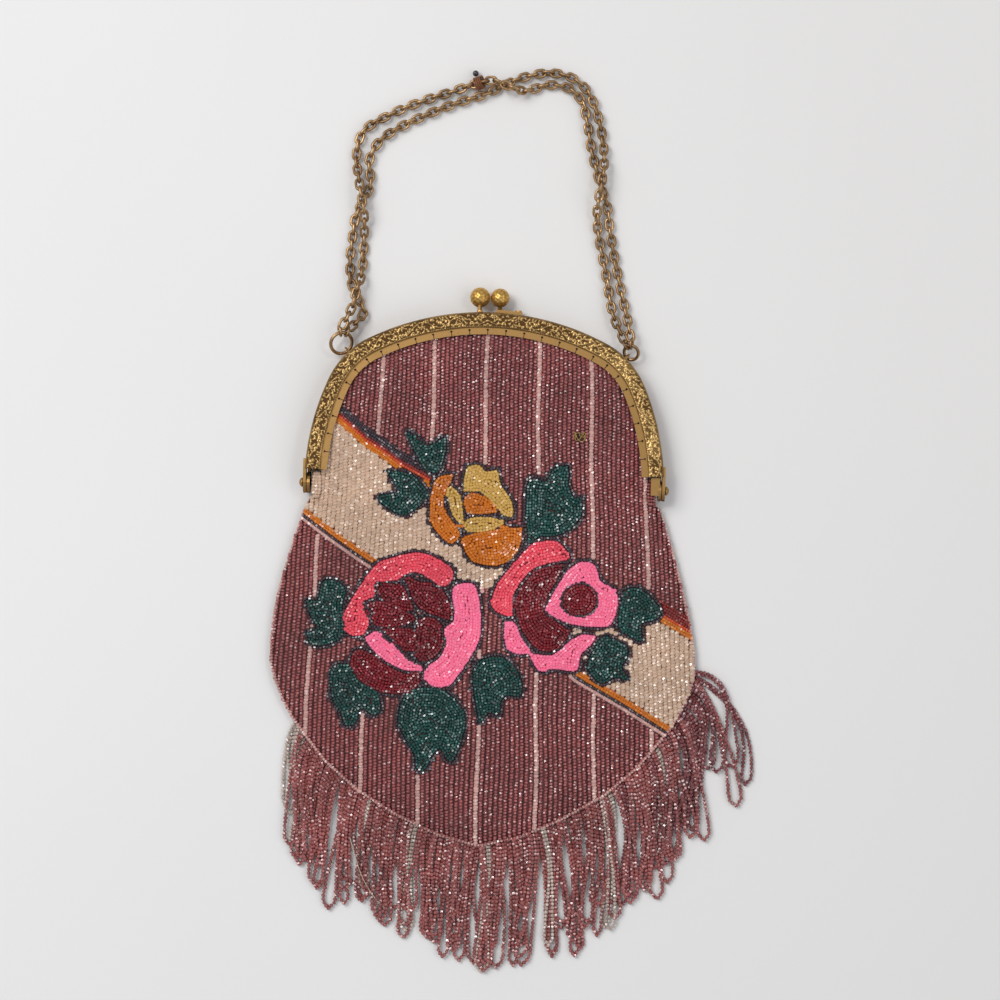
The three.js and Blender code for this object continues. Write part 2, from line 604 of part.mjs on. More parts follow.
// Dips and swells of the front. Across and down: shares of the half width and of the whole drop;
// long and wide: shares of the half width; deep: share of the belly's height; turn: from the X axis.
const FOLDS = [
  { name: 'right gather', across: 0.45, down: -0.15, long: 0.26, wide: 0.07, deep: 0.13, turn: rad(84) },
  { name: 'right corner dip', across: 0.71, down: -0.1, long: 0.22, wide: 0.06, deep: 0.11, turn: rad(64) },
  { name: 'left ribbon gather', across: -0.5, down: 0.06, long: 0.2, wide: 0.06, deep: 0.12, turn: rad(-55) },
  { name: 'left swell', across: -0.66, down: 0.22, long: 0.3, wide: 0.12, deep: -0.07, turn: rad(70) },
  { name: 'lower left dip', across: -0.58, down: 0.55, long: 0.3, wide: 0.08, deep: 0.12, turn: rad(35) },
  { name: 'lower right dip', across: 0.6, down: 0.5, long: 0.3, wide: 0.08, deep: 0.1, turn: rad(-40) },
  { name: 'middle swell', across: 0.05, down: 0.42, long: 0.35, wide: 0.2, deep: -0.06, turn: rad(10) },
];

function foldDepth(x, y) {
  let depth = 0;
  for (const { across, down, long, wide, deep, turn } of FOLDS) {
    const dx = x - across * BAG_HALF_WIDTH;
    const dy = y + down * (SIDE_DROP + HEM_DROP);
    const u = (dx * Math.cos(turn) + dy * Math.sin(turn)) / (long * BAG_HALF_WIDTH);
    const v = (-dx * Math.sin(turn) + dy * Math.cos(turn)) / (wide * BAG_HALF_WIDTH);
    depth += deep * BELLY_HIGH * Math.exp(-u * u - v * v);
  }
  return depth;
}

const MOUTH_TOP = FRAME_DEPTH - FLANGE_DROP - SHEET * 0.8 - GAP - CLOTH_EASE; // the cloth under the front flange
const FOLD_RAMP = 6; // folds reach their full depth at a sixth of the way down
const MOUTH_BACK = FLANGE_DROP + SHEET * 0.8 + GAP + CLOTH_EASE; // the cloth over the back flange

// A point of the bag. u runs from side to side, -1 to 1; v from the mouth to the hem, 0 to 1.
// Gives the outer heights of the front and back cloth there.
function bagPoint(u, v) {
  const edge = outline.getPoint(Math.min(v, 1) * 0.985);
  const at = archPoint(u * MOUTH_LENGTH, MOUTH_INSET);
  const low = archPoint(MOUTH_LENGTH, MOUTH_INSET);
  const crown = archPoint(0, MOUTH_INSET);
  const bottom = -SIDE_DROP - HEM_DROP;
  const middle = lerp(crown.y, bottom, v);
  const away = THREE.MathUtils.smoothstep(v, 0, 0.15); // rows leave the arch's form for a plain bow
  const y = lerp(edge.y, middle, lerp((at.y - low.y) / (crown.y - low.y), 1 - u * u, away));
  const x = edge.x * lerp(at.x / low.x, u, away) + leanAt(y);
  const sink = THREE.MathUtils.smoothstep(v, 0, 0.3);
  const seam = lerp(MID, SEAM_HEIGHT, sink);
  const power = lerp(12, 3, THREE.MathUtils.smoothstep(v, 0, 0.4));
  const bulge = 1 - Math.abs(u) ** power;
  const hem = Math.sqrt(Math.max(0, 1 - Math.max(0, (v - 0.55) / 0.45) ** 2));
  const crest = lerp(SEAM_HEIGHT + CLOTH / 2, lerp(MOUTH_TOP, BELLY_HIGH, sink), hem);
  const sunk = foldDepth(x, y) * bulge * hem * Math.min(1, v * FOLD_RAMP);
  const front = lerp(seam + CLOTH / 2, crest, bulge) - sunk;
  const rest = lerp(MOUTH_BACK, -CLOTH, THREE.MathUtils.smoothstep(v, 0, 0.22)) * hem
    + (1 - hem) * (SEAM_HEIGHT - CLOTH / 2);
  const back = Math.max(0, lerp(seam - CLOTH / 2, rest, bulge));
  return { x, y, front, back };
}

function bagRing(v, columns, reach, shrink, shift = 0) {
  const row = [];
  for (let k = 0; k <= columns; k++) {
    const u = lerp(-reach, reach, k / columns);
    const point = bagPoint(u, v);
    let [front, back] = [point.front - shrink, point.back + shrink];
    if (front - back < GAP) {
      const mid = (point.front + point.back) / 2;
      [front, back] = [mid + GAP / 2, mid - GAP / 2];
    }
    row.push({ x: point.x, y: point.y + shift, front, back });
  }
  return [...row.map((p) => V3(p.x, p.y, p.front)), ...row.toReversed().map((p) => V3(p.x, p.y, p.back))];
}

function bagGeometry() {
  const columns = 22;
  const rows = 18;
  const outer = [];
  for (let k = 0; k <= rows; k++) outer.push(bagRing(k / rows, columns, 1, 0));
  const skin = loft(outer, stripCap(2 * (columns + 1)));
  const innerColumns = 12;
  const innerRows = 8;
  const inner = [bagRing(0, innerColumns, 0.9, CLOTH, 4 * CLOTH)];
  for (let k = 0; k <= innerRows; k++) {
    inner.push(bagRing(lerp(0, 0.95, k / innerRows), innerColumns, 0.9, CLOTH));
  }
  const hollow = loft(inner, stripCap(2 * (innerColumns + 1)));
  return toGeometry(toSolid(skin).subtract(toSolid(hollow)));
}

// Fringe: a head band under the hem and locks of looped strands.
// Each row: place along the hem, -1 at its left start and 1 at its right end; lean from straight down,
// in degrees to the right; share of the fringe's drop.
const LOCKS = [
  [-1, -2, 0.86], [-0.9, -4, 0.98], [-0.82, -6, 0.96], [-0.73, -5, 0.94], [-0.63, -4, 0.88],
  [-0.53, -2, 0.82], [-0.42, -3, 0.88], [-0.32, -4, 0.8], [-0.21, -3, 0.82], [-0.1, -3, 0.9],
  [0.01, -1, 0.97], [0.12, 0, 0.98], [0.23, 3, 1], [0.33, 3, 1.04], [0.43, 4, 1.04], [0.52, 5, 1],
  [0.6, 5, 0.98], [0.68, 6, 1.02], [0.76, 7, 1.06], [0.83, 7, 1.04], [0.9, 10, 0.98], [0.96, 13, 0.96],
  [1, 24, 0.98],
].map(([along, lean, long]) => ({ along, lean, long }));
const FRINGE_LEFT = 0.605; // where the fringe starts on the outline, on the left
const FRINGE_RIGHT = 0.52; // and on the right

// A place on the outline for the fringe, with the direction away from the bag.
function hemPoint(along, outset) {
  const share = lerp(1, along < 0 ? FRINGE_LEFT : FRINGE_RIGHT, Math.abs(along));
  const side = along < 0 ? -1 : 1;
  const point = outline.getPoint(share);
  const tangent = outline.getTangent(share);
  const out = V3(-tangent.y, tangent.x, 0).normalize();
  if (out.y > 0) out.negate();
  const x = side * (point.x + out.x * outset) + leanAt(point.y);
  return V3(x, point.y + out.y * outset, 0);
}

// One lock: it leaves the hem squarely and bends into its lean.
// Each row: place along the lock, then shares of the lock's width and of the fringe's thickness.
const LOCK_ROWS = [
  { t: 0, wide: 0.86, high: 0.85 }, { t: 0.3, wide: 1, high: 0.95 }, { t: 0.75, wide: 1, high: 0.75 },
  { t: 1, wide: 0.55, high: 0.45 },
];

function lockGeometry({ along, lean, long }, lift) {
  const root = hemPoint(along * 0.985, GAP + HEAD_BAND * 0.6);
  const out = hemPoint(along * 0.985, GAP + HEAD_BAND).sub(root).normalize();
  const drop = long * FRINGE_DROP;
  const tip = root.clone().add(V3(Math.sin(rad(lean)), -Math.cos(rad(lean)), 0).multiplyScalar(drop));
  const path = new THREE.QuadraticBezierCurve3(root, root.clone().addScaledVector(out, drop * 0.16), tip);
  const rings = LOCK_ROWS.map(({ t, wide, high }) => {
    const at = path.getPoint(t);
    const heading = path.getTangent(t);
    const across = V3(-heading.y, heading.x, 0).multiplyScalar((wide * LOCK_WIDE) / 2);
    const low = lift * (1 - t);
    return [[-1, low], [1, low], [1, high * FRINGE_THICK], [-1, high * FRINGE_THICK]]
      .map(([way, z]) => V3(at.x + way * across.x, at.y + way * across.y, z));
  });
  return loft(rings, [[0, 1, 2], [0, 2, 3]]);
}

function fringeGeometry() {
  const bottom = 0.4;
  const band = [];
  const steps = 30;
  for (let k = 0; k <= steps; k++) {
    const along = lerp(-1, 1, k / steps);
    const [near, far] = [hemPoint(along, GAP), hemPoint(along, GAP + HEAD_BAND)];
    band.push([
      V3(near.x, near.y, bottom), V3(near.x, near.y, bottom + FRINGE_THICK),
      V3(far.x, far.y, bottom + FRINGE_THICK), V3(far.x, far.y, bottom),
    ]);
  }
  const solids = [toSolid(loft(band, [[0, 1, 2], [0, 2, 3]]))];
  for (const lock of LOCKS) solids.push(toSolid(lockGeometry(lock, bottom)));
  return toGeometry(solids.reduce((whole, next) => whole.add(next)));
}

// Assembly

const purse = new THREE.Group();

function add(name, geometry, look) {
  const mesh = new THREE.Mesh(geometry, look);
  mesh.name = name;
  purse.add(mesh);
}

const claspFront = claspLeft();
const claspBack = claspRight();

add('bag', bagGeometry(), mauveBeads());
add('frame_front', toGeometry(frameHalf(1, FRONT_EAR_X, [], [claspFront.hole])), gilt());

const tabTop = MID + EAR_RADIUS - TAB_THICK;
const tab = new THREE.BoxGeometry(TAB_REACH + EAR_THICK / 2, TAB_LONG, TAB_THICK);
tab.translate(BACK_EAR_X - TAB_REACH / 2 + EAR_THICK / 4, TAB_LIFT, tabTop);
add('frame_back', toGeometry(frameHalf(-1, BACK_EAR_X, [eye(RINGS.left), eye(RINGS.right), toSolid(tab)],
  [claspBack.hole])), gilt());

add('clasp_ball_left', toGeometry(claspFront.solid), brightGilt());
add('clasp_ball_right', toGeometry(claspBack.solid), brightGilt());

const rivet = hingeRivet();
add('hinge_rivet_right', rivet, gilt());
add('hinge_rivet_left', mirrorX(rivet), gilt());

add('chain_ring_left', ringGeometry(RINGS.left), chainMetal());
add('chain_ring_right', ringGeometry(RINGS.right), chainMetal());

const links = {};
for (const side of ['left', 'right']) {
  for (const strand of ['outer', 'inner']) {
    const link = endLink(RINGS[side], LINK_TURNS[side][strand]);
    links[`${side}_${strand}`] = link;
    add(`end_link_${side}_${strand}`, link.geometry, chainMetal());
  }
}
const outerCurve = strandCurve(OUTER_ROUTE, links.left_outer, links.right_outer);
const innerCurve = strandCurve(INNER_ROUTE, links.left_inner, links.right_inner);
add('chain_strand_outer', strandGeometry(outerCurve), chainMetal());
add('chain_strand_inner', strandGeometry(innerCurve), chainMetal());

const join = joinPlace(outerCurve);
add('join_ring', joinRing(join), rustyMetal());
add('join_bead', joinBead(join), darkGlass());

add('fringe', fringeGeometry(), fringeBeads());

export default purse;
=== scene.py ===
"""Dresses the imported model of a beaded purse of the 1920s: beads, embossed frame, chain and fringe.

The purse lies on its back on a pale ground and is seen from straight above. Sizes in this file are
millimetres and become metres where a mesh is made. X runs across the purse, Y from the fringe to the
clasp, Z out of the table. The origin lies on the table under the middle of the hinge line.
"""

import logging
import math
from dataclasses import dataclass, field
from enum import Enum

import bmesh
import bpy
import numpy as np
from mathutils import Matrix, Vector
from mathutils.bvhtree import BVHTree


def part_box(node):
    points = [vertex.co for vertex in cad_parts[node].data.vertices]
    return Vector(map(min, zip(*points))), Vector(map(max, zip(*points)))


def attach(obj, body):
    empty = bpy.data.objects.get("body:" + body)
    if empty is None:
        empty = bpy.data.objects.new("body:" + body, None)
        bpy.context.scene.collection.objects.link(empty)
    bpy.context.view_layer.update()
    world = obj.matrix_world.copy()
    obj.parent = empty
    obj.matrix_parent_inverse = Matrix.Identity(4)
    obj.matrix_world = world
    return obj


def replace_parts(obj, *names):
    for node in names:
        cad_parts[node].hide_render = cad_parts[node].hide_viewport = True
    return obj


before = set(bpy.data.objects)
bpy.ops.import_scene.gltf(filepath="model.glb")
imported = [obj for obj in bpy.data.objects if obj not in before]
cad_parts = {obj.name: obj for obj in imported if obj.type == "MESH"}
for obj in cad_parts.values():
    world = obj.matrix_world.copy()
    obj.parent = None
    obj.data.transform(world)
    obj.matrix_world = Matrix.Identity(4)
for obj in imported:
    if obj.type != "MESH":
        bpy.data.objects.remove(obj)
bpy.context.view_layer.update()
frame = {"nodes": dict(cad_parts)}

log = logging.getLogger("purse")

MM = 0.001  # one millimetre in metres
Colour = tuple[float, float, float]
Point2 = tuple[float, float]


# Places and sizes shared with the model

HINGE_PLANE = 6.0  # height of the plane between the two halves of the frame
FRAME_RISE = 69.4
CROWN_RADIUS, CROWN_TURN = 104.0, math.radians(27)
SHOULDER_RADIUS, SHOULDER_TURN = 34.0, math.radians(39)
LEG_RADIUS = 101.0
LEG_END = 5.6
BAND_WIDTH = 6.2
FLANGE_WIDTH = 2.6
FLANGE_HEIGHT = 5.0  # of the flange's face over the plane between the halves
EDGE_ROUND = 1.3
BAYS = 28  # stretches between the sewing holes
BAG_FOOT = -144.6  # Y of the lowest point of the hem
STRIPE_COLUMNS = 12  # columns of beads from one pale stripe to the next
STRIPE_FALL = 24.0  # from one pale stripe to the next, along the hem


# Meshes

def metres(points: np.ndarray) -> np.ndarray:
    """Gives points in metres as a flat list for a mesh.

    Args:
        points: One row of X, Y and Z in millimetres per point.

    Returns:
        The numbers in one row, in metres.
    """
    return (np.asarray(points, float) * MM).astype(np.float32).ravel()


def link(mesh: bpy.types.Mesh, name: str) -> bpy.types.Object:
    """Puts a mesh into the scene as a piece of the purse.

    Args:
        mesh: The finished mesh, in metres.
        name: The piece's name.

    Returns:
        The new object, at the origin, riding on the root body.
    """
    piece = bpy.data.objects.new(name, mesh)
    bpy.context.scene.collection.objects.link(piece)
    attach(piece, "root")
    return piece


def from_bmesh(shape: bmesh.types.BMesh, name: str, smooth: bool = True) -> bpy.types.Object:
    """Turns a bmesh in millimetres into a piece of the purse.

    Args:
        shape: The closed shape. It is freed.
        name: The piece's name.
        smooth: Whether its faces are shaded smooth.

    Returns:
        The new object.
    """
    bmesh.ops.recalc_face_normals(shape, faces=shape.faces)
    bmesh.ops.scale(shape, vec=Vector((MM, MM, MM)), verts=shape.verts)
    mesh = bpy.data.meshes.new(name)
    shape.to_mesh(mesh)
    shape.free()
    mesh.polygons.foreach_set("use_smooth", [smooth] * len(mesh.polygons))
    return link(mesh, name)


def triangles_of(shape: bmesh.types.BMesh) -> tuple[np.ndarray, np.ndarray]:
    """Reads a small shape as arrays, to be repeated many times.

    Args:
        shape: The closed shape. It is freed.

    Returns:
        Its points, and its triangles as rows of three point numbers.
    """
    bmesh.ops.recalc_face_normals(shape, faces=shape.faces)
    bmesh.ops.triangulate(shape, faces=shape.faces)
    shape.verts.index_update()
    points = np.array([v.co[:] for v in shape.verts])
    triangles = np.array([[v.index for v in f.verts] for f in shape.faces])
    shape.free()
    return points, triangles


def repeat_shape(name: str, points: np.ndarray, triangles: np.ndarray, centres: np.ndarray,
                 axes: np.ndarray, marks: dict[str, np.ndarray], smooth: bool) -> bpy.types.Object:
    """Joins many copies of one small shape into one piece.

    Args:
        name: The piece's name.
        points: The shape's own points.
        triangles: The shape's triangles.
        centres: One place per copy, in millimetres.
        axes: One 3 by 3 block per copy; its rows are where the shape's X, Y and Z go, with their sizes.
        marks: Point attributes by name, one row per copy with one number per point.
        smooth: Whether the faces are shaded smooth.

    Returns:
        The new object.
    """
    count, each = len(centres), len(points)
    placed = np.einsum("pk,nkx->npx", points, axes) + centres[:, None, :]
    faces = (triangles[None, :, :] + (np.arange(count) * each)[:, None, None]).reshape(-1, 3)
    mesh = bpy.data.meshes.new(name)
    mesh.vertices.add(count * each)
    mesh.vertices.foreach_set("co", metres(placed.reshape(-1, 3)))
    mesh.loops.add(faces.size)
    mesh.loops.foreach_set("vertex_index", faces.ravel().astype(np.int32))
    mesh.polygons.add(len(faces))
    mesh.polygons.foreach_set("loop_start", np.arange(0, faces.size, 3, dtype=np.int32))
    mesh.polygons.foreach_set("use_smooth", np.full(len(faces), smooth))
    for mark, values in marks.items():
        layer = mesh.attributes.new(mark, "FLOAT", "POINT")
        layer.data.foreach_set("value", np.asarray(values, np.float32).ravel())
    mesh.update(calc_edges=True)
    return link(mesh, name)


# Finishes

class Nodes:
    """Adds nodes to a tree, with their inputs given as values or as other nodes' outputs."""

    def __init__(self, tree: bpy.types.NodeTree) -> None:
        """Starts on a node tree."""
        self.tree = tree

    def add(self, kind: str, inputs: dict | None = None, **settings) -> bpy.types.Node:
        """Adds one node.

        Args:
            kind: The node's type.
            inputs: Values or output sockets by input name or number.
            settings: Properties of the node.

        Returns:
            The new node.
        """
        node = self.tree.nodes.new(kind)
        for key, value in settings.items():
            setattr(node, key, value)
        for key, value in (inputs or {}).items():
            if isinstance(value, bpy.types.NodeSocket):
                self.tree.links.new(value, node.inputs[key])
            else:
                node.inputs[key].default_value = value
        return node

    def ramp(self, factor: bpy.types.NodeSocket, low: float, high: float) -> bpy.types.NodeSocket:
        """Stretches the part of a value between two limits to run from 0 to 1."""
        node = self.add("ShaderNodeMapRange", {"Value": factor, "From Min": low, "From Max": high}, clamp=True)
        return node.outputs["Result"]

    def mix(self, factor: object, one: object, two: object, blend: str = "MIX") -> bpy.types.NodeSocket:
        """Mixes two colours."""
        node = self.add("ShaderNodeMix", data_type="RGBA", blend_type=blend)
        for socket, value in ((node.inputs[0], factor), (node.inputs[6], one), (node.inputs[7], two)):
            if isinstance(value, bpy.types.NodeSocket):
                self.tree.links.new(value, socket)
            else:
                socket.default_value = value
        return node.outputs[2]

    def noise(self, scale: float, detail: float = 3.0, vector: object = None) -> bpy.types.NodeSocket:
        """Gives noise on the object's own coordinates, in metres."""
        if vector is None:
            vector = self.add("ShaderNodeTexCoord").outputs["Object"]
        return self.add("ShaderNodeTexNoise", {"Vector": vector, "Scale": scale, "Detail": detail}).outputs["Fac"]


def new_group(name: str, inputs: dict[str, object], outputs: dict[str, str]) -> tuple[bpy.types.NodeTree, Nodes]:
    """Starts a shader node group.

    Args:
        name: The group's name.
        inputs: Default values by input name; a number or a colour.
        outputs: Socket types by output name.

    Returns:
        The group and a maker of nodes in it.
    """
    tree = bpy.data.node_groups.new(name, "ShaderNodeTree")
    for key, value in inputs.items():
        kind = "NodeSocketFloat" if isinstance(value, (int, float)) else "NodeSocketColor"
        tree.interface.new_socket(key, in_out="INPUT", socket_type=kind).default_value = value
    for key, kind in outputs.items():
        tree.interface.new_socket(key, in_out="OUTPUT", socket_type=kind)
    return tree, Nodes(tree)


def bead_group() -> bpy.types.NodeTree:
    """Builds the look of a bead: its glass darkened at its sides as painted shade between beads, painted glints and a
    lighter painted top, and a tint of its own.

    Returns:
        The group. Its inputs are the body and heart colours and the spread from bead to bead.
    """
    tree, make = new_group("bead_glass", {"Body": (0.5, 0.5, 0.5, 1), "Heart": (0.1, 0.1, 0.1, 1),
                                          "Painted Glint Colour": (0.9, 0.8, 0.8, 1), "Spread": 0.3, "Depth": 0.6,
                                          "Sparks": 0.05},
                           {"Colour": "NodeSocketColor", "Roughness": "NodeSocketFloat"})
    given = make.add("NodeGroupInput").outputs
    tint = make.add("ShaderNodeAttribute", attribute_name="tint").outputs["Fac"]
    crown = make.add("ShaderNodeAttribute", attribute_name="crown").outputs["Fac"]
    patch = make.noise(55, 2)
    shade = make.add("ShaderNodeMath", {0: tint, 1: make.ramp(patch, 0.3, 0.7)}, operation="ADD").outputs[0]
    centred = make.add("ShaderNodeMath", {0: shade, 1: 1.0}, operation="SUBTRACT").outputs[0]
    change = make.add("ShaderNodeMath", {0: centred, 1: given["Spread"]}, operation="MULTIPLY").outputs[0]
    level = make.add("ShaderNodeMath", {0: change, 1: 1.0}, operation="ADD").outputs[0]
    body = make.add("ShaderNodeHueSaturation", {"Color": given["Body"], "Value": level}).outputs["Color"]
    # Painted shade: the sides of each bead, facing away from the outside, turn towards the heart colour, as if shaded
    # between beads.
    painted_rim_shade = make.add("ShaderNodeMath", {0: make.ramp(crown, 0.85, 0.1), 1: given["Depth"]},
                    operation="MULTIPLY").outputs[0]
    dark = make.mix(painted_rim_shade, body, given["Heart"])
    # Painted glints: a bright spot on the top of a few beads, chosen by their tint, stands in for highlights.
    chosen = make.add("ShaderNodeMath", {0: tint, 1: given["Sparks"]}, operation="ADD").outputs[0]
    glint = make.add("ShaderNodeMath", {0: make.ramp(chosen, 0.98, 1.02), 1: make.ramp(crown, 0.6, 0.95)},
                     operation="MULTIPLY").outputs[0]
    # Painted highlight: the top of every bead is lightened towards the glint colour.
    top = make.add("ShaderNodeMath", {0: make.ramp(crown, 0.86, 1.0), 1: 0.16}, operation="MULTIPLY").outputs[0]
    bright = make.add("ShaderNodeMath", {0: glint, 1: 0.6, 2: top}, operation="MULTIPLY_ADD").outputs[0]
    colour = make.mix(bright, dark, given["Painted Glint Colour"])
    rough = make.add("ShaderNodeMapRange", {"Value": tint, "To Min": 0.36, "To Max": 0.2}).outputs["Result"]
    make.add("NodeGroupOutput", {"Colour": colour, "Roughness": rough})
    return tree


def patina_group() -> bpy.types.NodeTree:
    """Builds worn metal: brown in the hollows and in soft patches, bright where hands rub it, and browner still where
    painted shade is fed in with the hollows.

    Returns:
        The group. Its inputs are the two colours, the share of patches and how fine they are.
    """
    tree, make = new_group("metal_patina", {"Bright": (0.8, 0.6, 0.3, 1), "Brown": (0.2, 0.12, 0.05, 1),
                                            "Hollow And Shade": 0.0, "Patches": 0.4, "Fine": 900.0},
                           {"Colour": "NodeSocketColor", "Roughness": "NodeSocketFloat",
                            "Height": "NodeSocketFloat"})
    given = make.add("NodeGroupInput").outputs
    place = make.add("ShaderNodeTexCoord").outputs["Object"]
    patches = make.ramp(make.noise(110, 4, place), 0.38, 0.72)
    soft = make.add("ShaderNodeMath", {0: patches, 1: given["Patches"]}, operation="MULTIPLY").outputs[0]
    grain = make.add("ShaderNodeTexNoise", {"Vector": place, "Scale": given["Fine"], "Detail": 3.0}).outputs["Fac"]
    specks = make.add("ShaderNodeMath", {0: make.ramp(grain, 0.5, 0.75), 1: 0.25}, operation="MULTIPLY").outputs[0]
    both = make.add("ShaderNodeMath", {0: soft, 1: specks}, operation="ADD").outputs[0]
    brown = make.add("ShaderNodeMath", {0: both, 1: given["Hollow And Shade"]}, operation="ADD", use_clamp=True).outputs[0]
    colour = make.mix(brown, given["Bright"], given["Brown"])
    rough = make.add("ShaderNodeMapRange", {"Value": brown, "To Min": 0.33, "To Max": 0.62}).outputs["Result"]
    make.add("NodeGroupOutput", {"Colour": colour, "Roughness": rough, "Height": grain})
    return tree


def new_material(name: str) -> tuple[bpy.types.Material, Nodes, bpy.types.Node]:
    """Starts a material on one Principled shader.

    Args:
        name: The material's name.

    Returns:
        The material, a maker of nodes in it and its shader.
    """
    material = bpy.data.materials.new(name)
    material.use_nodes = True
    return material, Nodes(material.node_tree), material.node_tree.nodes["Principled BSDF"]


@dataclass(frozen=True)
class BeadGlass:
    """A colour of small glass beads.

    Attributes:
        name: The material's name.
        body: Colour of the glass.
        heart: Colour in its depth, also painted at its rim as shade between beads.
        painted_glint_colour: Colour of the painted glint on the few beads chosen to catch the light.
        spread: How far the beads differ in lightness.
        depth: How strongly the heart colour is painted at the rim as shade.
        gloss: Weight of the clear surface, 1 for fire-polished and less for chalky beads.
        swell: Size of its beads as a share of the usual one.
        sparks: Share of its beads that get a painted glint.
    """

    name: str
    body: Colour
    heart: Colour
    painted_glint_colour: Colour = (0.86, 0.74, 0.72)
    spread: float = 0.35
    depth: float = 0.7
    gloss: float = 1.0
    swell: float = 1.0
    sparks: float = 0.06

    def make(self, group: bpy.types.NodeTree) -> bpy.types.Material:
        """Makes the material.

        Args:
            group: The shared look of a bead.

        Returns:
            The material.
        """
        material, nodes, shader = new_material(self.name)
        look = nodes.add("ShaderNodeGroup", node_tree=group)
        for socket, value in (("Body", (*self.body, 1)), ("Heart", (*self.heart, 1)),
                              ("Painted Glint Colour", (*self.painted_glint_colour, 1)), ("Spread", self.spread), ("Depth", self.depth),
                              ("Sparks", self.sparks)):
            look.inputs[socket].default_value = value
        material.node_tree.links.new(look.outputs["Colour"], shader.inputs["Base Color"])
        material.node_tree.links.new(look.outputs["Roughness"], shader.inputs["Roughness"])
        shader.inputs["IOR"].default_value = 1.54
        shader.inputs["Coat Weight"].default_value = self.gloss
        shader.inputs["Coat Roughness"].default_value = 0.12
        return material


@dataclass(frozen=True)
class WornMetal:
    """A gilt or tarnished metal.

    Attributes:
        name: The material's name.
        bright: Colour where it is rubbed.
        brown: Colour of its tarnish.
        patches: How strong the soft patches of tarnish are.
        fine: Scale of the fine grain.
        bump: Height of the fine grain, in millimetres.
        metallic: How metallic it still looks.
        carved: Whether a "hollow" attribute browns it: patina in its hollows, and painted shade on the embossed band's
            slopes.
        painted_wall_shade: How much painted shade darkens its upright sides.
    """

    name: str
    bright: Colour
    brown: Colour
    patches: float = 0.4
    fine: float = 900.0
    bump: float = 0.02
    metallic: float = 1.0
    carved: bool = False
    painted_wall_shade: float = 0.0

    def make(self, group: bpy.types.NodeTree) -> bpy.types.Material:
        """Makes the material.

        Args:
            group: The shared look of worn metal.

        Returns:
            The material.
        """
        material, nodes, shader = new_material(self.name)
        look = nodes.add("ShaderNodeGroup", node_tree=group)
        for socket, value in (("Bright", (*self.bright, 1)), ("Brown", (*self.brown, 1)),
                              ("Patches", self.patches), ("Fine", self.fine)):
            look.inputs[socket].default_value = value
        if self.carved:
            hollow = nodes.add("ShaderNodeAttribute", attribute_name="hollow").outputs["Fac"]
            material.node_tree.links.new(hollow, look.inputs["Hollow And Shade"])
        # Painted shade: sides that face away from straight up are browned, as if in shade.
        elif self.painted_wall_shade:
            facing = nodes.add("ShaderNodeSeparateXYZ",
                               {"Vector": nodes.add("ShaderNodeTexCoord").outputs["Normal"]}).outputs["Z"]
            level = nodes.add("ShaderNodeMath", {0: facing}, operation="ABSOLUTE").outputs[0]
            wall_shade = nodes.add("ShaderNodeMath", {0: nodes.ramp(level, 0.75, 0.25), 1: self.painted_wall_shade},
                             operation="MULTIPLY").outputs[0]
            material.node_tree.links.new(wall_shade, look.inputs["Hollow And Shade"])
        bump = nodes.add("ShaderNodeBump", {"Height": look.outputs["Height"], "Distance": self.bump * MM,
                                            "Strength": 0.6})
        for output, target in (("Colour", "Base Color"), ("Roughness", "Roughness")):
            material.node_tree.links.new(look.outputs[output], shader.inputs[target])
        material.node_tree.links.new(bump.outputs["Normal"], shader.inputs["Normal"])
        shader.inputs["Metallic"].default_value = self.metallic
        return material


@dataclass(frozen=True)
class Thread:
    """Cotton or silk thread, and the knitted ground that it makes.

    Attributes:
        name: The material's name.
        dark: Colour in the low parts of the stitch wave, painted shade in the stitches.
        light: Colour of the raised thread.
        pitch: Stitches to a millimetre.
    """

    name: str
    dark: Colour
    light: Colour
    pitch: float = 0.6

    def make(self) -> bpy.types.Material:
        """Makes the material with its stitches as a fine wave, darker in the wave's low parts as painted shade.

        Returns:
            The material.
        """
        material, nodes, shader = new_material(self.name)
        place = nodes.add("ShaderNodeTexCoord").outputs["Object"]
        wave = nodes.add("ShaderNodeTexWave", {"Vector": place, "Scale": self.pitch / MM / 6.0, "Distortion": 2.0,
                                               "Detail": 2.0}).outputs["Fac"]
        # Painted shade: the low parts of the wave, where the bump sinks, take the darker colour.
        colour = nodes.mix(wave, (*self.dark, 1), (*self.light, 1))
        bump = nodes.add("ShaderNodeBump", {"Height": wave, "Distance": 0.1 * MM, "Strength": 0.5})
        material.node_tree.links.new(colour, shader.inputs["Base Color"])
        material.node_tree.links.new(bump.outputs["Normal"], shader.inputs["Normal"])
        shader.inputs["Roughness"].default_value = 0.85
        return material


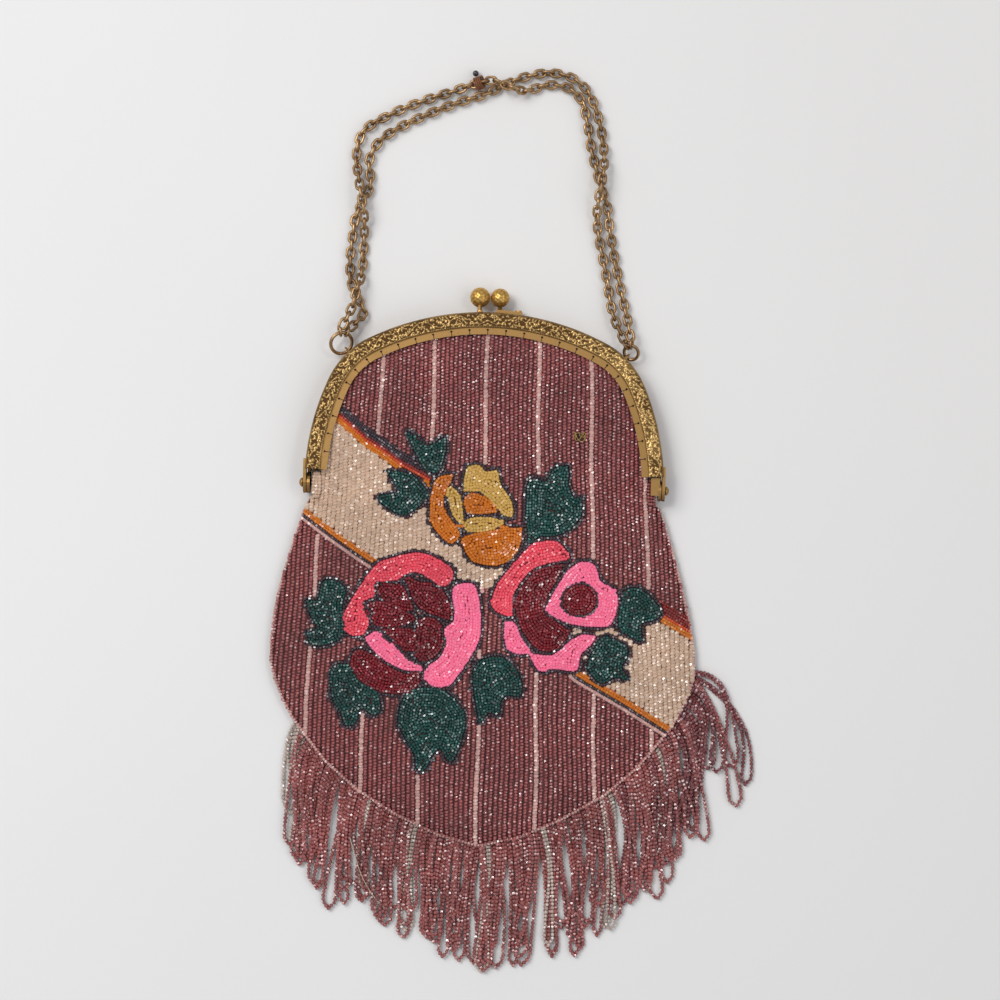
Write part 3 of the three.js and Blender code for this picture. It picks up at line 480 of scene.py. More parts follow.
class Glass(Enum):
    """The colours of the beads."""

    MAUVE = BeadGlass("mauve_glass", (0.36, 0.085, 0.082), (0.10, 0.013, 0.018), spread=0.4, sparks=0.08)
    DUSTY = BeadGlass("dusty_mauve_glass", (0.36, 0.098, 0.09), (0.12, 0.019, 0.02), spread=0.45, sparks=0.07)
    # A darker copy of the dusty mauve: painted shade on the fringe's right.
    DUSTY_PAINTED_SHADE = BeadGlass("dusty_mauve_painted_shade_glass", (0.23, 0.055, 0.058), (0.07, 0.01, 0.014), spread=0.5, sparks=0.08)
    STRIPE = BeadGlass("pale_pink_glass", (0.64, 0.37, 0.33), (0.44, 0.2, 0.17), (0.95, 0.9, 0.86), spread=0.3,
                       depth=0.45, swell=1.32)
    CREAM = BeadGlass("cream_glass", (0.64, 0.44, 0.31), (0.5, 0.33, 0.225), (0.98, 0.95, 0.9), spread=0.2,
                      depth=0.3, swell=1.4)
    CLEAR = BeadGlass("clear_glass", (0.56, 0.45, 0.385), (0.36, 0.27, 0.23), (1.0, 1.0, 0.98), spread=0.4,
                      depth=0.5, swell=0.92)
    CORAL = BeadGlass("coral_glass", (0.86, 0.085, 0.13), (0.56, 0.025, 0.05), (0.95, 0.5, 0.45), spread=0.25,
                      depth=0.35, gloss=0.5, swell=1.2)
    PINK = BeadGlass("hot_pink_glass", (1.0, 0.2, 0.36), (0.88, 0.14, 0.25), (0.98, 0.5, 0.6), spread=0.12,
                     depth=0.25, gloss=0.15, swell=1.27)
    CRIMSON = BeadGlass("crimson_glass", (0.21, 0.003, 0.011), (0.08, 0.001, 0.004), (0.8, 0.24, 0.28),
                        spread=0.45, gloss=0.8, swell=1.14, sparks=0.12)
    IRIS = BeadGlass("gunmetal_glass", (0.045, 0.024, 0.034), (0.012, 0.007, 0.012), (0.72, 0.68, 0.72), spread=0.7,
                     swell=1.1, sparks=0.18)
    LEAF = BeadGlass("dark_green_glass", (0.001, 0.056, 0.046), (0.001, 0.016, 0.014), (0.42, 0.66, 0.62),
                     spread=0.5, gloss=0.8, swell=1.12, sparks=0.18)
    ORANGE = BeadGlass("golden_glass", (0.62, 0.165, 0.003), (0.42, 0.085, 0.001), (0.95, 0.62, 0.2), spread=0.2,
                       depth=0.4, gloss=0.6, swell=1.24)
    YELLOW = BeadGlass("pale_yellow_glass", (0.66, 0.40, 0.09), (0.48, 0.26, 0.05), (0.98, 0.92, 0.6),
                       spread=0.25, depth=0.4, swell=1.24)
    SCARLET = BeadGlass("red_orange_glass", (0.64, 0.07, 0.012), (0.36, 0.025, 0.005), (0.95, 0.5, 0.35),
                        spread=0.25, swell=1.14)
    RUST = BeadGlass("dark_red_glass", (0.26, 0.014, 0.01), (0.10, 0.004, 0.004), (0.8, 0.4, 0.3), spread=0.3,
                     swell=1.12, sparks=0.1)


class Metal(Enum):
    """The metals of the frame and the chain."""

    # Its upright sides get painted shade.
    GILT = WornMetal("gilt_sheet", (0.58, 0.335, 0.12), (0.14, 0.078, 0.03), patches=0.4, painted_wall_shade=0.7)
    EMBOSSED = WornMetal("embossed_gilt", (0.73, 0.48, 0.19), (0.12, 0.062, 0.024), patches=0.3, carved=True)
    BALLS = WornMetal("engraved_gilt", (0.76, 0.47, 0.13), (0.36, 0.19, 0.045), patches=0.3, metallic=0.85,
                     carved=True)
    CHAIN = WornMetal("tarnished_gilt", (0.50, 0.32, 0.165), (0.14, 0.07, 0.03), patches=0.7)
    RUSTED = WornMetal("rusted_wire", (0.34, 0.13, 0.05), (0.12, 0.04, 0.02), patches=0.8, fine=2500.0,
                       bump=0.06, metallic=0.35)


class Wardrobe:
    """Makes each finish once and hands it out."""

    def __init__(self) -> None:
        """Builds the two shared looks."""
        self.bead_look = bead_group()
        self.metal_look = patina_group()
        self.made: dict[Enum, bpy.types.Material] = {}

    def get(self, choice: Glass | Metal) -> bpy.types.Material:
        """Gives the material of a finish, making it the first time."""
        if choice not in self.made:
            look = self.bead_look if isinstance(choice, Glass) else self.metal_look
            self.made[choice] = choice.value.make(look)
        return self.made[choice]


def dress(piece: bpy.types.Object, material: bpy.types.Material) -> bpy.types.Object:
    """Gives a piece its material.

    Args:
        piece: The piece.
        material: Its material.

    Returns:
        The same piece.
    """
    piece.data.materials.clear()
    piece.data.materials.append(material)
    return piece


# Beads

class BeadShape(Enum):
    """How finely a bead is cut: segments round its hole and rings along it."""

    FRONT = (6, 4)
    STITCH = (6, 3)
    BACK = (5, 3)
    FRINGE = (5, 4)

    def mesh(self) -> tuple[np.ndarray, np.ndarray]:
        """Makes a bead of radius 1 with its hole along X.

        Returns:
            Its points and triangles.
        """
        around, along = self.value
        shape = bmesh.new()
        bmesh.ops.create_uvsphere(shape, u_segments=around, v_segments=along, radius=1.0)
        bmesh.ops.rotate(shape, verts=shape.verts, matrix=Matrix.Rotation(math.pi / 2, 3, "Y"))
        return triangles_of(shape)


@dataclass
class BeadLot:
    """Beads of one glass that become one piece.

    Attributes:
        glass: Their finish.
        shape: How finely they are cut.
        centres: Their places.
        normals: Which way their outer side looks.
        holes: Which way their thread runs.
        sizes: Radius along the thread and across it.
    """

    glass: Glass
    shape: BeadShape
    centres: list[np.ndarray] = field(default_factory=list)
    normals: list[np.ndarray] = field(default_factory=list)
    holes: list[np.ndarray] = field(default_factory=list)
    sizes: list[Point2] = field(default_factory=list)

    def add(self, centre: np.ndarray, normal: np.ndarray, hole: np.ndarray, size: Point2) -> None:
        """Adds one bead."""
        self.centres.append(centre)
        self.normals.append(normal)
        self.holes.append(hole)
        self.sizes.append(size)

    def build(self, name: str, wardrobe: Wardrobe, slot: str, chance: np.random.Generator) -> bpy.types.Object:
        """Joins the lot into one piece and dresses it.

        Args:
            name: The piece's name.
            wardrobe: Where the finish comes from.
            slot: Not used.
            chance: Source of the beads' small differences.

        Returns:
            The piece.
        """
        points, triangles = self.shape.mesh()
        centres, normals, holes = (np.array(rows, float) for rows in (self.centres, self.normals, self.holes))
        sizes = np.array(self.sizes, float) * chance.normal(1.0, 0.045, (len(centres), 1)).clip(0.88, 1.1)
        tilt = chance.normal(0.0, 0.22, holes.shape)
        along = holes + tilt - normals * np.sum((holes + tilt) * normals, axis=1, keepdims=True) * 0.6
        along /= np.linalg.norm(along, axis=1, keepdims=True)
        side = np.cross(normals, along)
        side /= np.linalg.norm(side, axis=1, keepdims=True)
        up = np.cross(along, side)
        spin = chance.uniform(0, 2 * math.pi, (len(centres), 1))
        first = side * np.cos(spin) + up * np.sin(spin)
        second = np.cross(along, first)
        axes = np.stack([along * sizes[:, :1], first * sizes[:, 1:], second * sizes[:, 1:]], axis=1)
        outward = np.einsum("pk,nkx->npx", points, axes)
        outward /= np.linalg.norm(outward, axis=2, keepdims=True)
        # How far each point faces out; the bead look paints shade where this is low and highlights where it is high.
        crown = np.einsum("npx,nx->np", outward, normals).clip(0, 1)
        tint = np.repeat(chance.uniform(0, 1, (len(centres), 1)), len(points), axis=1)
        piece = repeat_shape(name, points, triangles, centres, axes, {"tint": tint, "crown": crown}, False)
        return dress(piece, wardrobe.get(self.glass))


# The pattern

@dataclass(frozen=True)
class Patch:
    """A petal or leaf of the pattern.

    Attributes:
        name: What it is.
        glass: The glass it is worked in.
        outline: Its corners, X and Y on the front.
    """

    name: str
    glass: Glass
    outline: list[Point2]


PATCHES = [
    Patch("top leaf", Glass.LEAF, [(-31, 21), (-23, 16), (-16.5, 19), (-15.5, 14), (-18, 5.5), (-22.5, 5.5),
                                   (-26, 9.5)]),
    Patch("upper left leaf", Glass.LEAF, [(-38, 5), (-29, 4), (-22.5, -2.5), (-23, -5.5), (-29.5, -11.5),
                                          (-34.5, -11.5), (-41.5, -7), (-40.5, -4.5), (-34.5, -2.5)]),
    Patch("leaf by the yellow rose", Glass.LEAF, [
        (17.5, 2), (24.5, 3), (27.5, 7.5), (32, 9), (34, 6), (33.5, 2), (36, -3.5), (39, -4), (39, -10.5),
        (35.5, -15.5), (29.5, -19), (22.5, -19.5), (18, -21)]),
    Patch("yellow rose, left", Glass.ORANGE, [
        (-14, 4.5), (-19, 2.5), (-21, -4), (-21, -14), (-17, -20), (-12.5, -23), (-9, -19), (-14.5, -11),
        (-16, -5.5), (-12.5, 3.5)]),
    Patch("yellow rose, left inner", Glass.YELLOW, [(-14.5, 0), (-9.5, -3.5), (-8, -10), (-8.5, -15),
                                                    (-12, -12), (-14, -6.5)]),
    Patch("yellow rose, top", Glass.YELLOW, [
        (-7, 7), (-2.5, 8.5), (1, 6), (5, 6.5), (7, 0.5), (11.5, -6.5), (11.5, -11.5), (8, -11), (-1, -2.5),
        (-7.5, -1.5)]),
    Patch("yellow rose, heart", Glass.ORANGE, [(-7.5, -4.5), (-4, -2.5), (2, -5), (5, -8), (3.5, -10.5),
                                               (-5.5, -11), (-7.5, -8)]),
    Patch("yellow rose, low", Glass.YELLOW, [(-6.5, -13.5), (0.5, -12), (6.5, -13), (8, -15), (1, -18),
                                             (-6.5, -18)]),
    Patch("yellow rose, bottom", Glass.ORANGE, [(-7, -20), (12.5, -16), (15.5, -18.5), (14.5, -24.5),
                                                (10.5, -29.5), (4, -31.5), (-3.5, -30), (-7, -25.5)]),
    Patch("left rose, outer", Glass.CORAL, [
        (-24.5, -27), (-35.5, -29), (-43, -33), (-52.5, -47.5), (-55.5, -56), (-51.5, -60.5), (-46, -59.5),
        (-44.5, -52), (-47.5, -47.5), (-42.5, -44.5), (-42.5, -39.5), (-35, -38.5), (-30.5, -36), (-25, -35),
        (-17.5, -39.5), (-14, -40), (-11.5, -36.5), (-13, -32)]),
    Patch("left rose, side", Glass.PINK, [
        (-11.5, -41.5), (-6, -38.5), (-1.5, -42), (0, -59), (-7, -73.5), (-13, -80), (-19.5, -79.5),
        (-22, -75.5), (-20.5, -72), (-16, -68.5), (-13.5, -63), (-14.5, -57.5), (-10.5, -53)]),
    Patch("left rose, strip", Glass.PINK, [(-45.5, -62.5), (-40, -59), (-29.5, -69), (-23.5, -72.5),
                                           (-25, -74), (-31.5, -73.5), (-39.5, -69)]),
    Patch("left rose, bottom", Glass.CRIMSON, [(-51, -68.5), (-47, -66.5), (-30, -74), (-24, -75), (-25, -81),
                                               (-31, -83.5), (-40.5, -82.5), (-47.5, -78.5), (-51, -74)]),
    Patch("left rose, heart 1", Glass.CRIMSON, [(-43, -39.5), (-34.5, -38.5), (-30, -42.5), (-27, -49.5),
                                                (-31, -50), (-38.5, -46.5)]),
    Patch("left rose, heart 2", Glass.CRIMSON, [(-30.5, -36), (-25, -38.5), (-18, -39.5), (-13, -45.5),
                                                (-11, -53), (-17.5, -52), (-25, -48.5), (-28.5, -42.5)]),
    Patch("left rose, heart 3", Glass.CRIMSON, [(-47, -49.5), (-39.5, -46.5), (-26.5, -52.5), (-30, -56),
                                                (-39, -57), (-44.5, -54.5)]),
    Patch("left rose, heart 4", Glass.CRIMSON, [(-40, -59), (-31, -57), (-26, -58.5), (-26, -66),
                                                (-33.5, -65)]),
    Patch("left rose, heart 5", Glass.CRIMSON, [(-24.5, -54), (-18.5, -53), (-14.5, -58), (-16, -66),
                                                (-22.5, -70.5), (-26, -66)]),
    Patch("right rose, outer", Glass.CORAL, [
        (29, -21), (33, -24), (34.5, -28), (26, -30), (19.5, -33), (15, -38.5), (12.5, -44.5), (12.5, -51),
        (9, -51), (4.5, -48), (4.5, -43.5), (7.5, -37), (18, -24), (23, -21.5)]),
    Patch("right rose, crescent", Glass.CRIMSON, [
        (20.5, -33), (32, -31), (26, -44.5), (27.5, -51), (34, -55.5), (35.5, -58), (30.5, -64.5),
        (23.5, -64.5), (17.5, -58.5), (14.5, -51.5), (13.5, -43), (16, -37.5)]),
    Patch("right rose, ring", Glass.PINK, [
        (35.5, -31.5), (40.5, -29), (45, -30.5), (47.5, -36.5), (53.5, -40.5), (54.5, -47), (51.5, -54),
        (44.5, -55), (36, -54), (29, -51), (26, -47.5), (31.5, -37)]),
    Patch("right rose, heart", Glass.CRIMSON, [(39, -37), (43.5, -38), (46.5, -41), (47, -45.5),
                                               (45, -49.5), (40.5, -51.5), (35.5, -51), (32, -48),
                                               (31.5, -43), (34, -39)]),
    Patch("right rose, low left", Glass.PINK, [(10, -54), (13.5, -54), (16.5, -60), (20, -65), (16.5, -66.5),
                                               (11, -64.5), (9.5, -59)]),
    Patch("right rose, bottom", Glass.PINK, [(20.5, -66.5), (29, -66.5), (37.5, -59.5), (43.5, -58),
                                             (45.5, -60.5), (40.5, -66), (38.5, -72.5), (29.5, -72),
                                             (24, -73)]),
    Patch("middle leaf", Glass.LEAF, [
        (-1, -70.5), (7, -67.5), (13.5, -71), (17, -78), (16.5, -83), (12, -83), (9, -85), (8, -91), (4, -90),
        (0.5, -93.5), (-2.5, -78.5)]),
    Patch("bottom leaf", Glass.LEAF, [
        (-30.5, -86), (-27.5, -82), (-21.5, -80.5), (-13.5, -82), (-7.5, -87.5), (-5, -94.5), (-9, -108.5),
        (-12, -109.5), (-15, -105), (-18, -108), (-21, -114), (-24.5, -113), (-25.5, -107), (-29, -101.5),
        (-32, -94)]),
    Patch("lower left leaf", Glass.LEAF, [
        (-57, -72.5), (-51, -73), (-48, -79), (-41.5, -82), (-39, -89), (-42, -92.5), (-47, -90),
        (-49.5, -96), (-53.5, -96.5), (-55.5, -91), (-59, -85.5), (-59.5, -76)]),
    Patch("left leaf", Glass.LEAF, [
        (-63.5, -39.5), (-58, -39), (-54, -43), (-55.5, -49), (-54.5, -55.5), (-55.5, -61.5), (-62, -65),
        (-68, -64.5), (-69, -60.5), (-65.5, -58), (-68.5, -52.5), (-69.5, -47.5), (-65.5, -46.5)]),
    Patch("right leaf", Glass.LEAF, [(57, -41), (64, -39.5), (71.5, -47), (71, -51), (64.5, -53.5),
                                     (64.5, -60), (60, -58.5), (55, -54.5)]),
    Patch("lower right leaf", Glass.LEAF, [
        (49, -58.5), (53, -59.5), (58.5, -62.5), (59, -67), (57, -71), (59.5, -75.5), (54, -75),
        (49.5, -77.5), (45.5, -75), (43, -71), (44.5, -65.5)]),
]


def closed_curve(corners: list[Point2], fine: int = 6) -> np.ndarray:
    """Rounds an outline.

    Args:
        corners: Its corners.
        fine: Steps from one corner to the next.

    Returns:
        The rounded outline as closely spaced points.
    """
    points = np.array(corners, float)
    rows = []
    for p0, p1, p2, p3 in zip(np.roll(points, 1, 0), points, np.roll(points, -1, 0), np.roll(points, -2, 0)):
        for t in np.linspace(0, 1, fine, endpoint=False):
            rows.append(0.5 * (2 * p1 + (p2 - p0) * t + (2 * p0 - 5 * p1 + 4 * p2 - p3) * t * t
                               + (3 * p1 - p0 - 3 * p2 + p3) * t ** 3))
    return np.array(rows)


def inside_and_away(x: np.ndarray, y: np.ndarray, outline: np.ndarray) -> tuple[np.ndarray, np.ndarray]:
    """Tests places against a closed outline.

    Args:
        x: The places' X.
        y: Their Y, in the same form.
        outline: The outline's points.

    Returns:
        Whether each place lies inside, and its distance from the outline.
    """
    inside = np.zeros(x.shape, bool)
    away = np.full(x.shape, np.inf)
    for a, b in zip(outline, np.roll(outline, -1, axis=0)):
        run = b - a
        if abs(run[1]) > 1e-9:
            inside ^= ((a[1] > y) != (b[1] > y)) & (x < run[0] * (y - a[1]) / run[1] + a[0])
        share = (((x - a[0]) * run[0] + (y - a[1]) * run[1]) / max(run @ run, 1e-9)).clip(0, 1)
        away = np.minimum(away, np.hypot(x - a[0] - share * run[0], y - a[1] - share * run[1]))
    return inside, away


@dataclass(frozen=True)
class Ribbon:
    """The cream ribbon with its lines of beads.

    Attributes:
        top: Its upper edge, from left to right.
        foot: Its lower edge.
        slant: Share of a height that is square to the ribbon.
        top_lines: Distance from the cream and glass of each line over it.
        foot_lines: The same under it.
        top_reach: Width of the lines over it.
        foot_reach: Width of the lines under it.
        top_bare: The stretch of X over which the upper edge has no lines.
        foot_bare: The same of the lower edge.
    """

    top: tuple[Point2, ...] = ((-60.5, 25.3), (-52, 18.3), (-47.4, 14.3), (-41.5, 10.8), (-32.7, 4.7),
                               (-22.8, -0.4), (67.6, -49.8), (84.6, -59.5))
    foot: tuple[Point2, ...] = ((-70.1, -11.5), (-61.2, -17.8), (-51.3, -24.4), (-43.9, -29), (-14, -38),
                                (4, -41), (14, -50), (38.2, -71.8), (58.8, -83.4), (75.4, -93.6))
    slant: float = 0.86
    top_lines: tuple[tuple[float, Glass], ...] = (
        (0.5, Glass.ORANGE), (1.55, Glass.ORANGE), (2.6, Glass.SCARLET), (3.65, Glass.RUST), (4.7, Glass.IRIS),
        (5.75, Glass.IRIS), (6.8, Glass.IRIS))
    foot_lines: tuple[tuple[float, Glass], ...] = (
        (0.5, Glass.ORANGE), (1.6, Glass.ORANGE), (2.8, Glass.IRIS), (4.1, Glass.STRIPE))
    top_reach: float = 7.4
    foot_reach: float = 4.9
    top_bare: Point2 = (-13, 66)
    foot_bare: Point2 = (-40, 34)

    @staticmethod
    def line_at(line: tuple[Point2, ...], x: np.ndarray) -> np.ndarray:
        """Gives the height of an edge at X, carried on straight past its ends."""
        xs, ys = np.array([p[0] for p in line]), np.array([p[1] for p in line])
        before = ys[0] + (ys[1] - ys[0]) / (xs[1] - xs[0]) * (x - xs[0])
        after = ys[-1] + (ys[-1] - ys[-2]) / (xs[-1] - xs[-2]) * (x - xs[-1])
        return np.where(x < xs[0], before, np.where(x > xs[-1], after, np.interp(x, xs, ys)))

    def over(self, x: np.ndarray, y: np.ndarray) -> np.ndarray:
        """Gives the distance over the upper edge, below 0 under it."""
        return (y - self.line_at(self.top, x)) * self.slant

    def under(self, x: np.ndarray, y: np.ndarray) -> np.ndarray:
        """Gives the distance under the lower edge, below 0 over it."""
        return (self.line_at(self.foot, x) - y) * self.slant

    def lined(self, x: np.ndarray, y: np.ndarray) -> np.ndarray:
        """Says where the lines of beads lie."""
        over, under = self.over(x, y), self.under(x, y)
        above = (over > 0) & (over < self.top_reach) & ((x < self.top_bare[0]) | (x > self.top_bare[1]))
        below = (under > 0) & (under < self.foot_reach) & ((x < self.foot_bare[0]) | (x > self.foot_bare[1]))
        return above | below

    def strings(self, spacing: float) -> list[tuple[np.ndarray, np.ndarray, Glass]]:
        """Draws the lines of beads along both edges.

        Args:
            spacing: From bead to bead.

        Returns:
            For each bead its place, the way its line runs and its glass.
        """
        found = []
        for edge, way, lines in ((self.top, 1, self.top_lines), (self.foot, -1, self.foot_lines)):
            for number, (offset, glass) in enumerate(lines):
                x = -92.0 + 0.5 * spacing * (number % 2)
                while x < 92:
                    y, ahead = self.line_at(edge, np.array([x, x + 1.0]))
                    run = np.array([1.0, ahead - y])
                    run /= np.linalg.norm(run)
                    ends = edge is self.top and x > 0 and glass is Glass.IRIS
                    found.append((np.array([x, y + way * offset / self.slant]), run,
                                  Glass.RUST if ends else glass))
                    x += spacing * run[0]
        return found


class Zone(Enum):
    """What a spot of the front belongs to, apart from the petals and leaves by number."""

    KNITTED = -1
    RIM = -2
    LINES = -3


class Embroidery:
    """The petals, leaves and ribbon lines, in rows of beads that follow their outlines.

    The front is divided on a fine grid, and each bead claims its spot there.
    """

    cell = 0.25
    rim = 1.5  # width of the dark outline round the flowers
    first = 0.6  # from a petal's outline to its first row
    row = 1.1  # from row to row
    spacing = 1.15  # from bead to bead
    shade = 1.1  # width of the dark line in the crimson hearts along the light petals
    clear = 4  # cells round a bead's middle that no other middle may use

    def __init__(self, low: Point2, high: Point2, ribbon: Ribbon) -> None:
        """Divides the front.

        Args:
            low: Lowest X and Y of the pattern.
            high: Highest X and Y.
            ribbon: The ribbon across it.
        """
        self.low, self.ribbon = np.array(low), ribbon
        self.x, self.y = np.meshgrid(np.arange(low[0], high[0], self.cell), np.arange(low[1], high[1], self.cell))
        self.owner = np.full(self.x.shape, Zone.KNITTED.value)
        self.depth = np.zeros(self.x.shape)
        self.taken = np.zeros(self.x.shape, bool)
        offsets = np.arange(-self.clear, self.clear + 1)
        self.stamp = np.hypot(*np.meshgrid(offsets, offsets)) < self.clear
        gap = np.full(self.x.shape, np.inf)
        self.light_gap = np.full(self.x.shape, np.inf)
        for number, patch in enumerate(PATCHES):
            outline = closed_curve(patch.outline)
            near = self.window(outline.min(0) - 2 * self.rim, outline.max(0) + 2 * self.rim)
            inside, away = inside_and_away(self.x[near], self.y[near], outline)
            self.owner[near][inside] = number
            self.depth[near][inside] = away[inside]
            gap[near] = np.minimum(gap[near], np.where(inside, 0, away))
            if patch.glass in (Glass.PINK, Glass.CORAL):
                self.light_gap[near] = np.minimum(self.light_gap[near], np.where(inside, 0, away))
            else:
                lined = inside & (self.light_gap[near] == 0)
                self.light_gap[near][lined] = away[lined]
        rim = (self.owner == Zone.KNITTED.value) & (gap < self.rim)
        self.owner[rim] = Zone.RIM.value
        self.depth[rim] = np.abs(gap[rim] - self.rim / 2)
        self.owner[ribbon.lined(self.x, self.y) & (self.owner == Zone.KNITTED.value)] = Zone.LINES.value

    def window(self, low: np.ndarray, high: np.ndarray) -> tuple[slice, slice]:
        """Gives the rows and columns of the grid between two corners."""
        (c0, r0), (c1, r1) = ((np.array(p) - self.low) / self.cell for p in (low, high))
        return slice(max(0, int(r0)), int(r1) + 1), slice(max(0, int(c0)), int(c1) + 1)

    def index(self, place: np.ndarray) -> tuple[int, int]:
        """Gives the row and the column of a place, kept clear of the grid's edge."""
        column, row = np.rint((np.asarray(place) - self.low) / self.cell).astype(int)
        rows, columns = self.x.shape
        return (min(max(row, self.clear), rows - self.clear - 1),
                min(max(column, self.clear), columns - self.clear - 1))

    def zone_at(self, place: np.ndarray) -> int:
        """Gives the zone or petal number at a place."""
        return int(self.owner[self.index(place)])

    def claim(self, place: np.ndarray) -> bool:
        """Takes the spot for a bead, and says whether it was free."""
        row, column = self.index(place)
        if self.taken[row, column]:
            return False
        self.taken[row - self.clear:row + self.clear + 1, column - self.clear:column + self.clear + 1] |= self.stamp
        return True

    def walk(self, spots: np.ndarray) -> list[tuple[np.ndarray, np.ndarray]]:
        """Walks along a row's spots from bead to bead.

        Args:
            spots: The row's cells, one X and Y each.

        Returns:
            Places, and the steps that led to them.
        """
        found = []
        free = np.ones(len(spots), bool)
        here = spots[int(np.argmin(spots[:, 0]))] if len(spots) else None
        while free.any():
            gaps = np.where(free, np.hypot(*(spots - here).T), np.inf)
            ahead = spots[int(np.argmin(gaps))]
            step, here = ahead - here, ahead
            free &= np.hypot(*(spots - here).T) >= self.spacing
            if self.claim(here):
                found.append((here, step if np.linalg.norm(step) > 0.1 else np.array([1.0, 0.0])))
        return found

    def zone_beads(self, zone: int, first: float) -> list[tuple[np.ndarray, np.ndarray]]:
        """Fills a zone with rows at even depths, and what is left with single beads.

        Args:
            zone: The zone or petal number.
            first: Depth of the first row.

        Returns:
            Places and directions of the beads.
        """
        mine = self.owner == zone
        spots = np.stack([self.x[mine], self.y[mine]], axis=1)
        depth = self.depth[mine]
        found = []
        for level in np.arange(first, depth.max(initial=0.0) + 0.2, self.row):
            found += self.walk(spots[np.abs(depth - level) < 0.2])
        order = np.argsort(depth if zone >= 0 else -depth, kind="stable")
        found += [(place, np.array([1.0, 0.3])) for place in spots[order] if self.claim(place)]
        return found

    def beads(self) -> list[tuple[np.ndarray, np.ndarray, Glass]]:
        """Places all beads of the pattern.

        Returns:
            For each bead its place, the way its row runs and its glass.
        """
        found = [(place, run, glass) for place, run, glass in self.ribbon.strings(self.spacing)
                 if self.zone_at(place) == Zone.LINES.value]
        for place, _, _ in found:
            self.claim(place)
        for number, patch in enumerate(PATCHES):
            for place, run in self.zone_beads(number, self.first):
                shaded = patch.glass is Glass.CRIMSON and self.light_gap[self.index(place)] < self.shade
                found.append((place, run, Glass.IRIS if shaded else patch.glass))
        found += [(*bead, Glass.IRIS) for bead in self.zone_beads(Zone.RIM.value, 0.0)]
        return found

    def ground_glass(self, place: np.ndarray, column: int) -> Glass | None:
        """Gives the glass of a knitted bead, or nothing where the embroidery lies."""
        if self.zone_at(place) != Zone.KNITTED.value:
            return None
        if self.ribbon.over(place[0], place[1]) < 0 and self.ribbon.under(place[0], place[1]) < 0:
            return Glass.CREAM
        return Glass.STRIPE if column % STRIPE_COLUMNS == 0 else Glass.MAUVE


# The bag

class BagForm:
    """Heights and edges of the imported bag, smoothed for the beads to lie on."""

    def __init__(self, node: bpy.types.Object, step: float = 2.0, passes: int = 3) -> None:
        """Samples the bag from above and below on a grid.

        Args:
            node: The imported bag.
            step: Spacing of the grid.
            passes: How many times the heights are smoothed.
        """
        self.tree = BVHTree.FromObject(node, bpy.context.evaluated_depsgraph_get())
        low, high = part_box("bag")
        self.low, self.high, self.step = low / MM, high / MM, step
        across = int((self.high.x - self.low.x) / step) + 2
        along = int((self.high.y - self.low.y) / step) + 2
        self.front = np.full((along, across), np.nan)
        self.back = np.full((along, across), np.nan)
        for row in range(along):
            for column in range(across):
                x, y = self.low.x + column * step, self.low.y + row * step
                self.front[row, column] = self.hit(x, y, -1)
                self.back[row, column] = self.hit(x, y, 1)
        self.front, self.back = self.smooth(self.front, passes), self.smooth(self.back, passes)

    def hit(self, x: float, y: float, way: int) -> float:
        """Gives the height where a ray meets the bag, from above for way -1, or nan."""
        start = Vector((x * MM, y * MM, -way * 50 * MM))
        place = self.tree.ray_cast(start, Vector((0, 0, way)))[0]
        return math.nan if place is None else place.z / MM

    @staticmethod
    def smooth(heights: np.ndarray, passes: int) -> np.ndarray:
        """Averages each height with its neighbours, and carries them out past the edge."""
        for turn in range(passes + 3):
            padded = np.pad(heights, 1, constant_values=np.nan)
            near = np.stack([padded[r:r + heights.shape[0], c:c + heights.shape[1]]
                             for r in range(3) for c in range(3)])
            known = ~np.isnan(near)
            mean = np.where(known, near, 0).sum(0) / np.maximum(known.sum(0), 1)
            mean = np.where(known.any(0), mean, np.nan)
            heights = mean if turn < passes else np.where(np.isnan(heights), mean, heights)
        return heights

    def height(self, grid: np.ndarray, x: float, y: float) -> float:
        """Reads a height between the points of a grid."""
        column, row = (x - self.low.x) / self.step, (y - self.low.y) / self.step
        c = min(max(int(column), 0), grid.shape[1] - 2)
        r = min(max(int(row), 0), grid.shape[0] - 2)
        u, v = min(max(column - c, 0), 1), min(max(row - r, 0), 1)
        return float((grid[r, c] * (1 - u) + grid[r, c + 1] * u) * (1 - v)
                     + (grid[r + 1, c] * (1 - u) + grid[r + 1, c + 1] * u) * v)

    def normal(self, grid: np.ndarray, x: float, y: float, way: int) -> np.ndarray:
        """Gives the outward direction of the cloth, way +1 on the front and -1 on the back."""
        reach = 1.5
        slope_x = (self.height(grid, x + reach, y) - self.height(grid, x - reach, y)) / (2 * reach)
        slope_y = (self.height(grid, x, y + reach) - self.height(grid, x, y - reach)) / (2 * reach)
        normal = np.array([-slope_x * way, -slope_y * way, way], float)
        return normal / np.linalg.norm(normal)

    def covers(self, x: float, y: float, margin: float) -> bool:
        """Says whether the bag reaches past a place by a margin on every side."""
        return not any(math.isnan(self.hit(x + dx * margin, y + dy * margin, -1))
                       for dx, dy in ((1, 0), (-1, 0), (0, 1), (0, -1)))

    def edge(self, angle: float, centre: Point2 = (0.0, -55.0)) -> Point2:
        """Finds the outline in a direction from a point inside, 0 downwards and positive to the right."""
        near, far = 10.0, 160.0
        way = (math.sin(angle), -math.cos(angle))
        while far - near > 0.05:
            middle = (near + far) / 2
            inside = not math.isnan(self.hit(centre[0] + way[0] * middle, centre[1] + way[1] * middle, -1))
            near, far = (middle, far) if inside else (near, middle)
        return centre[0] + way[0] * near, centre[1] + way[1] * near


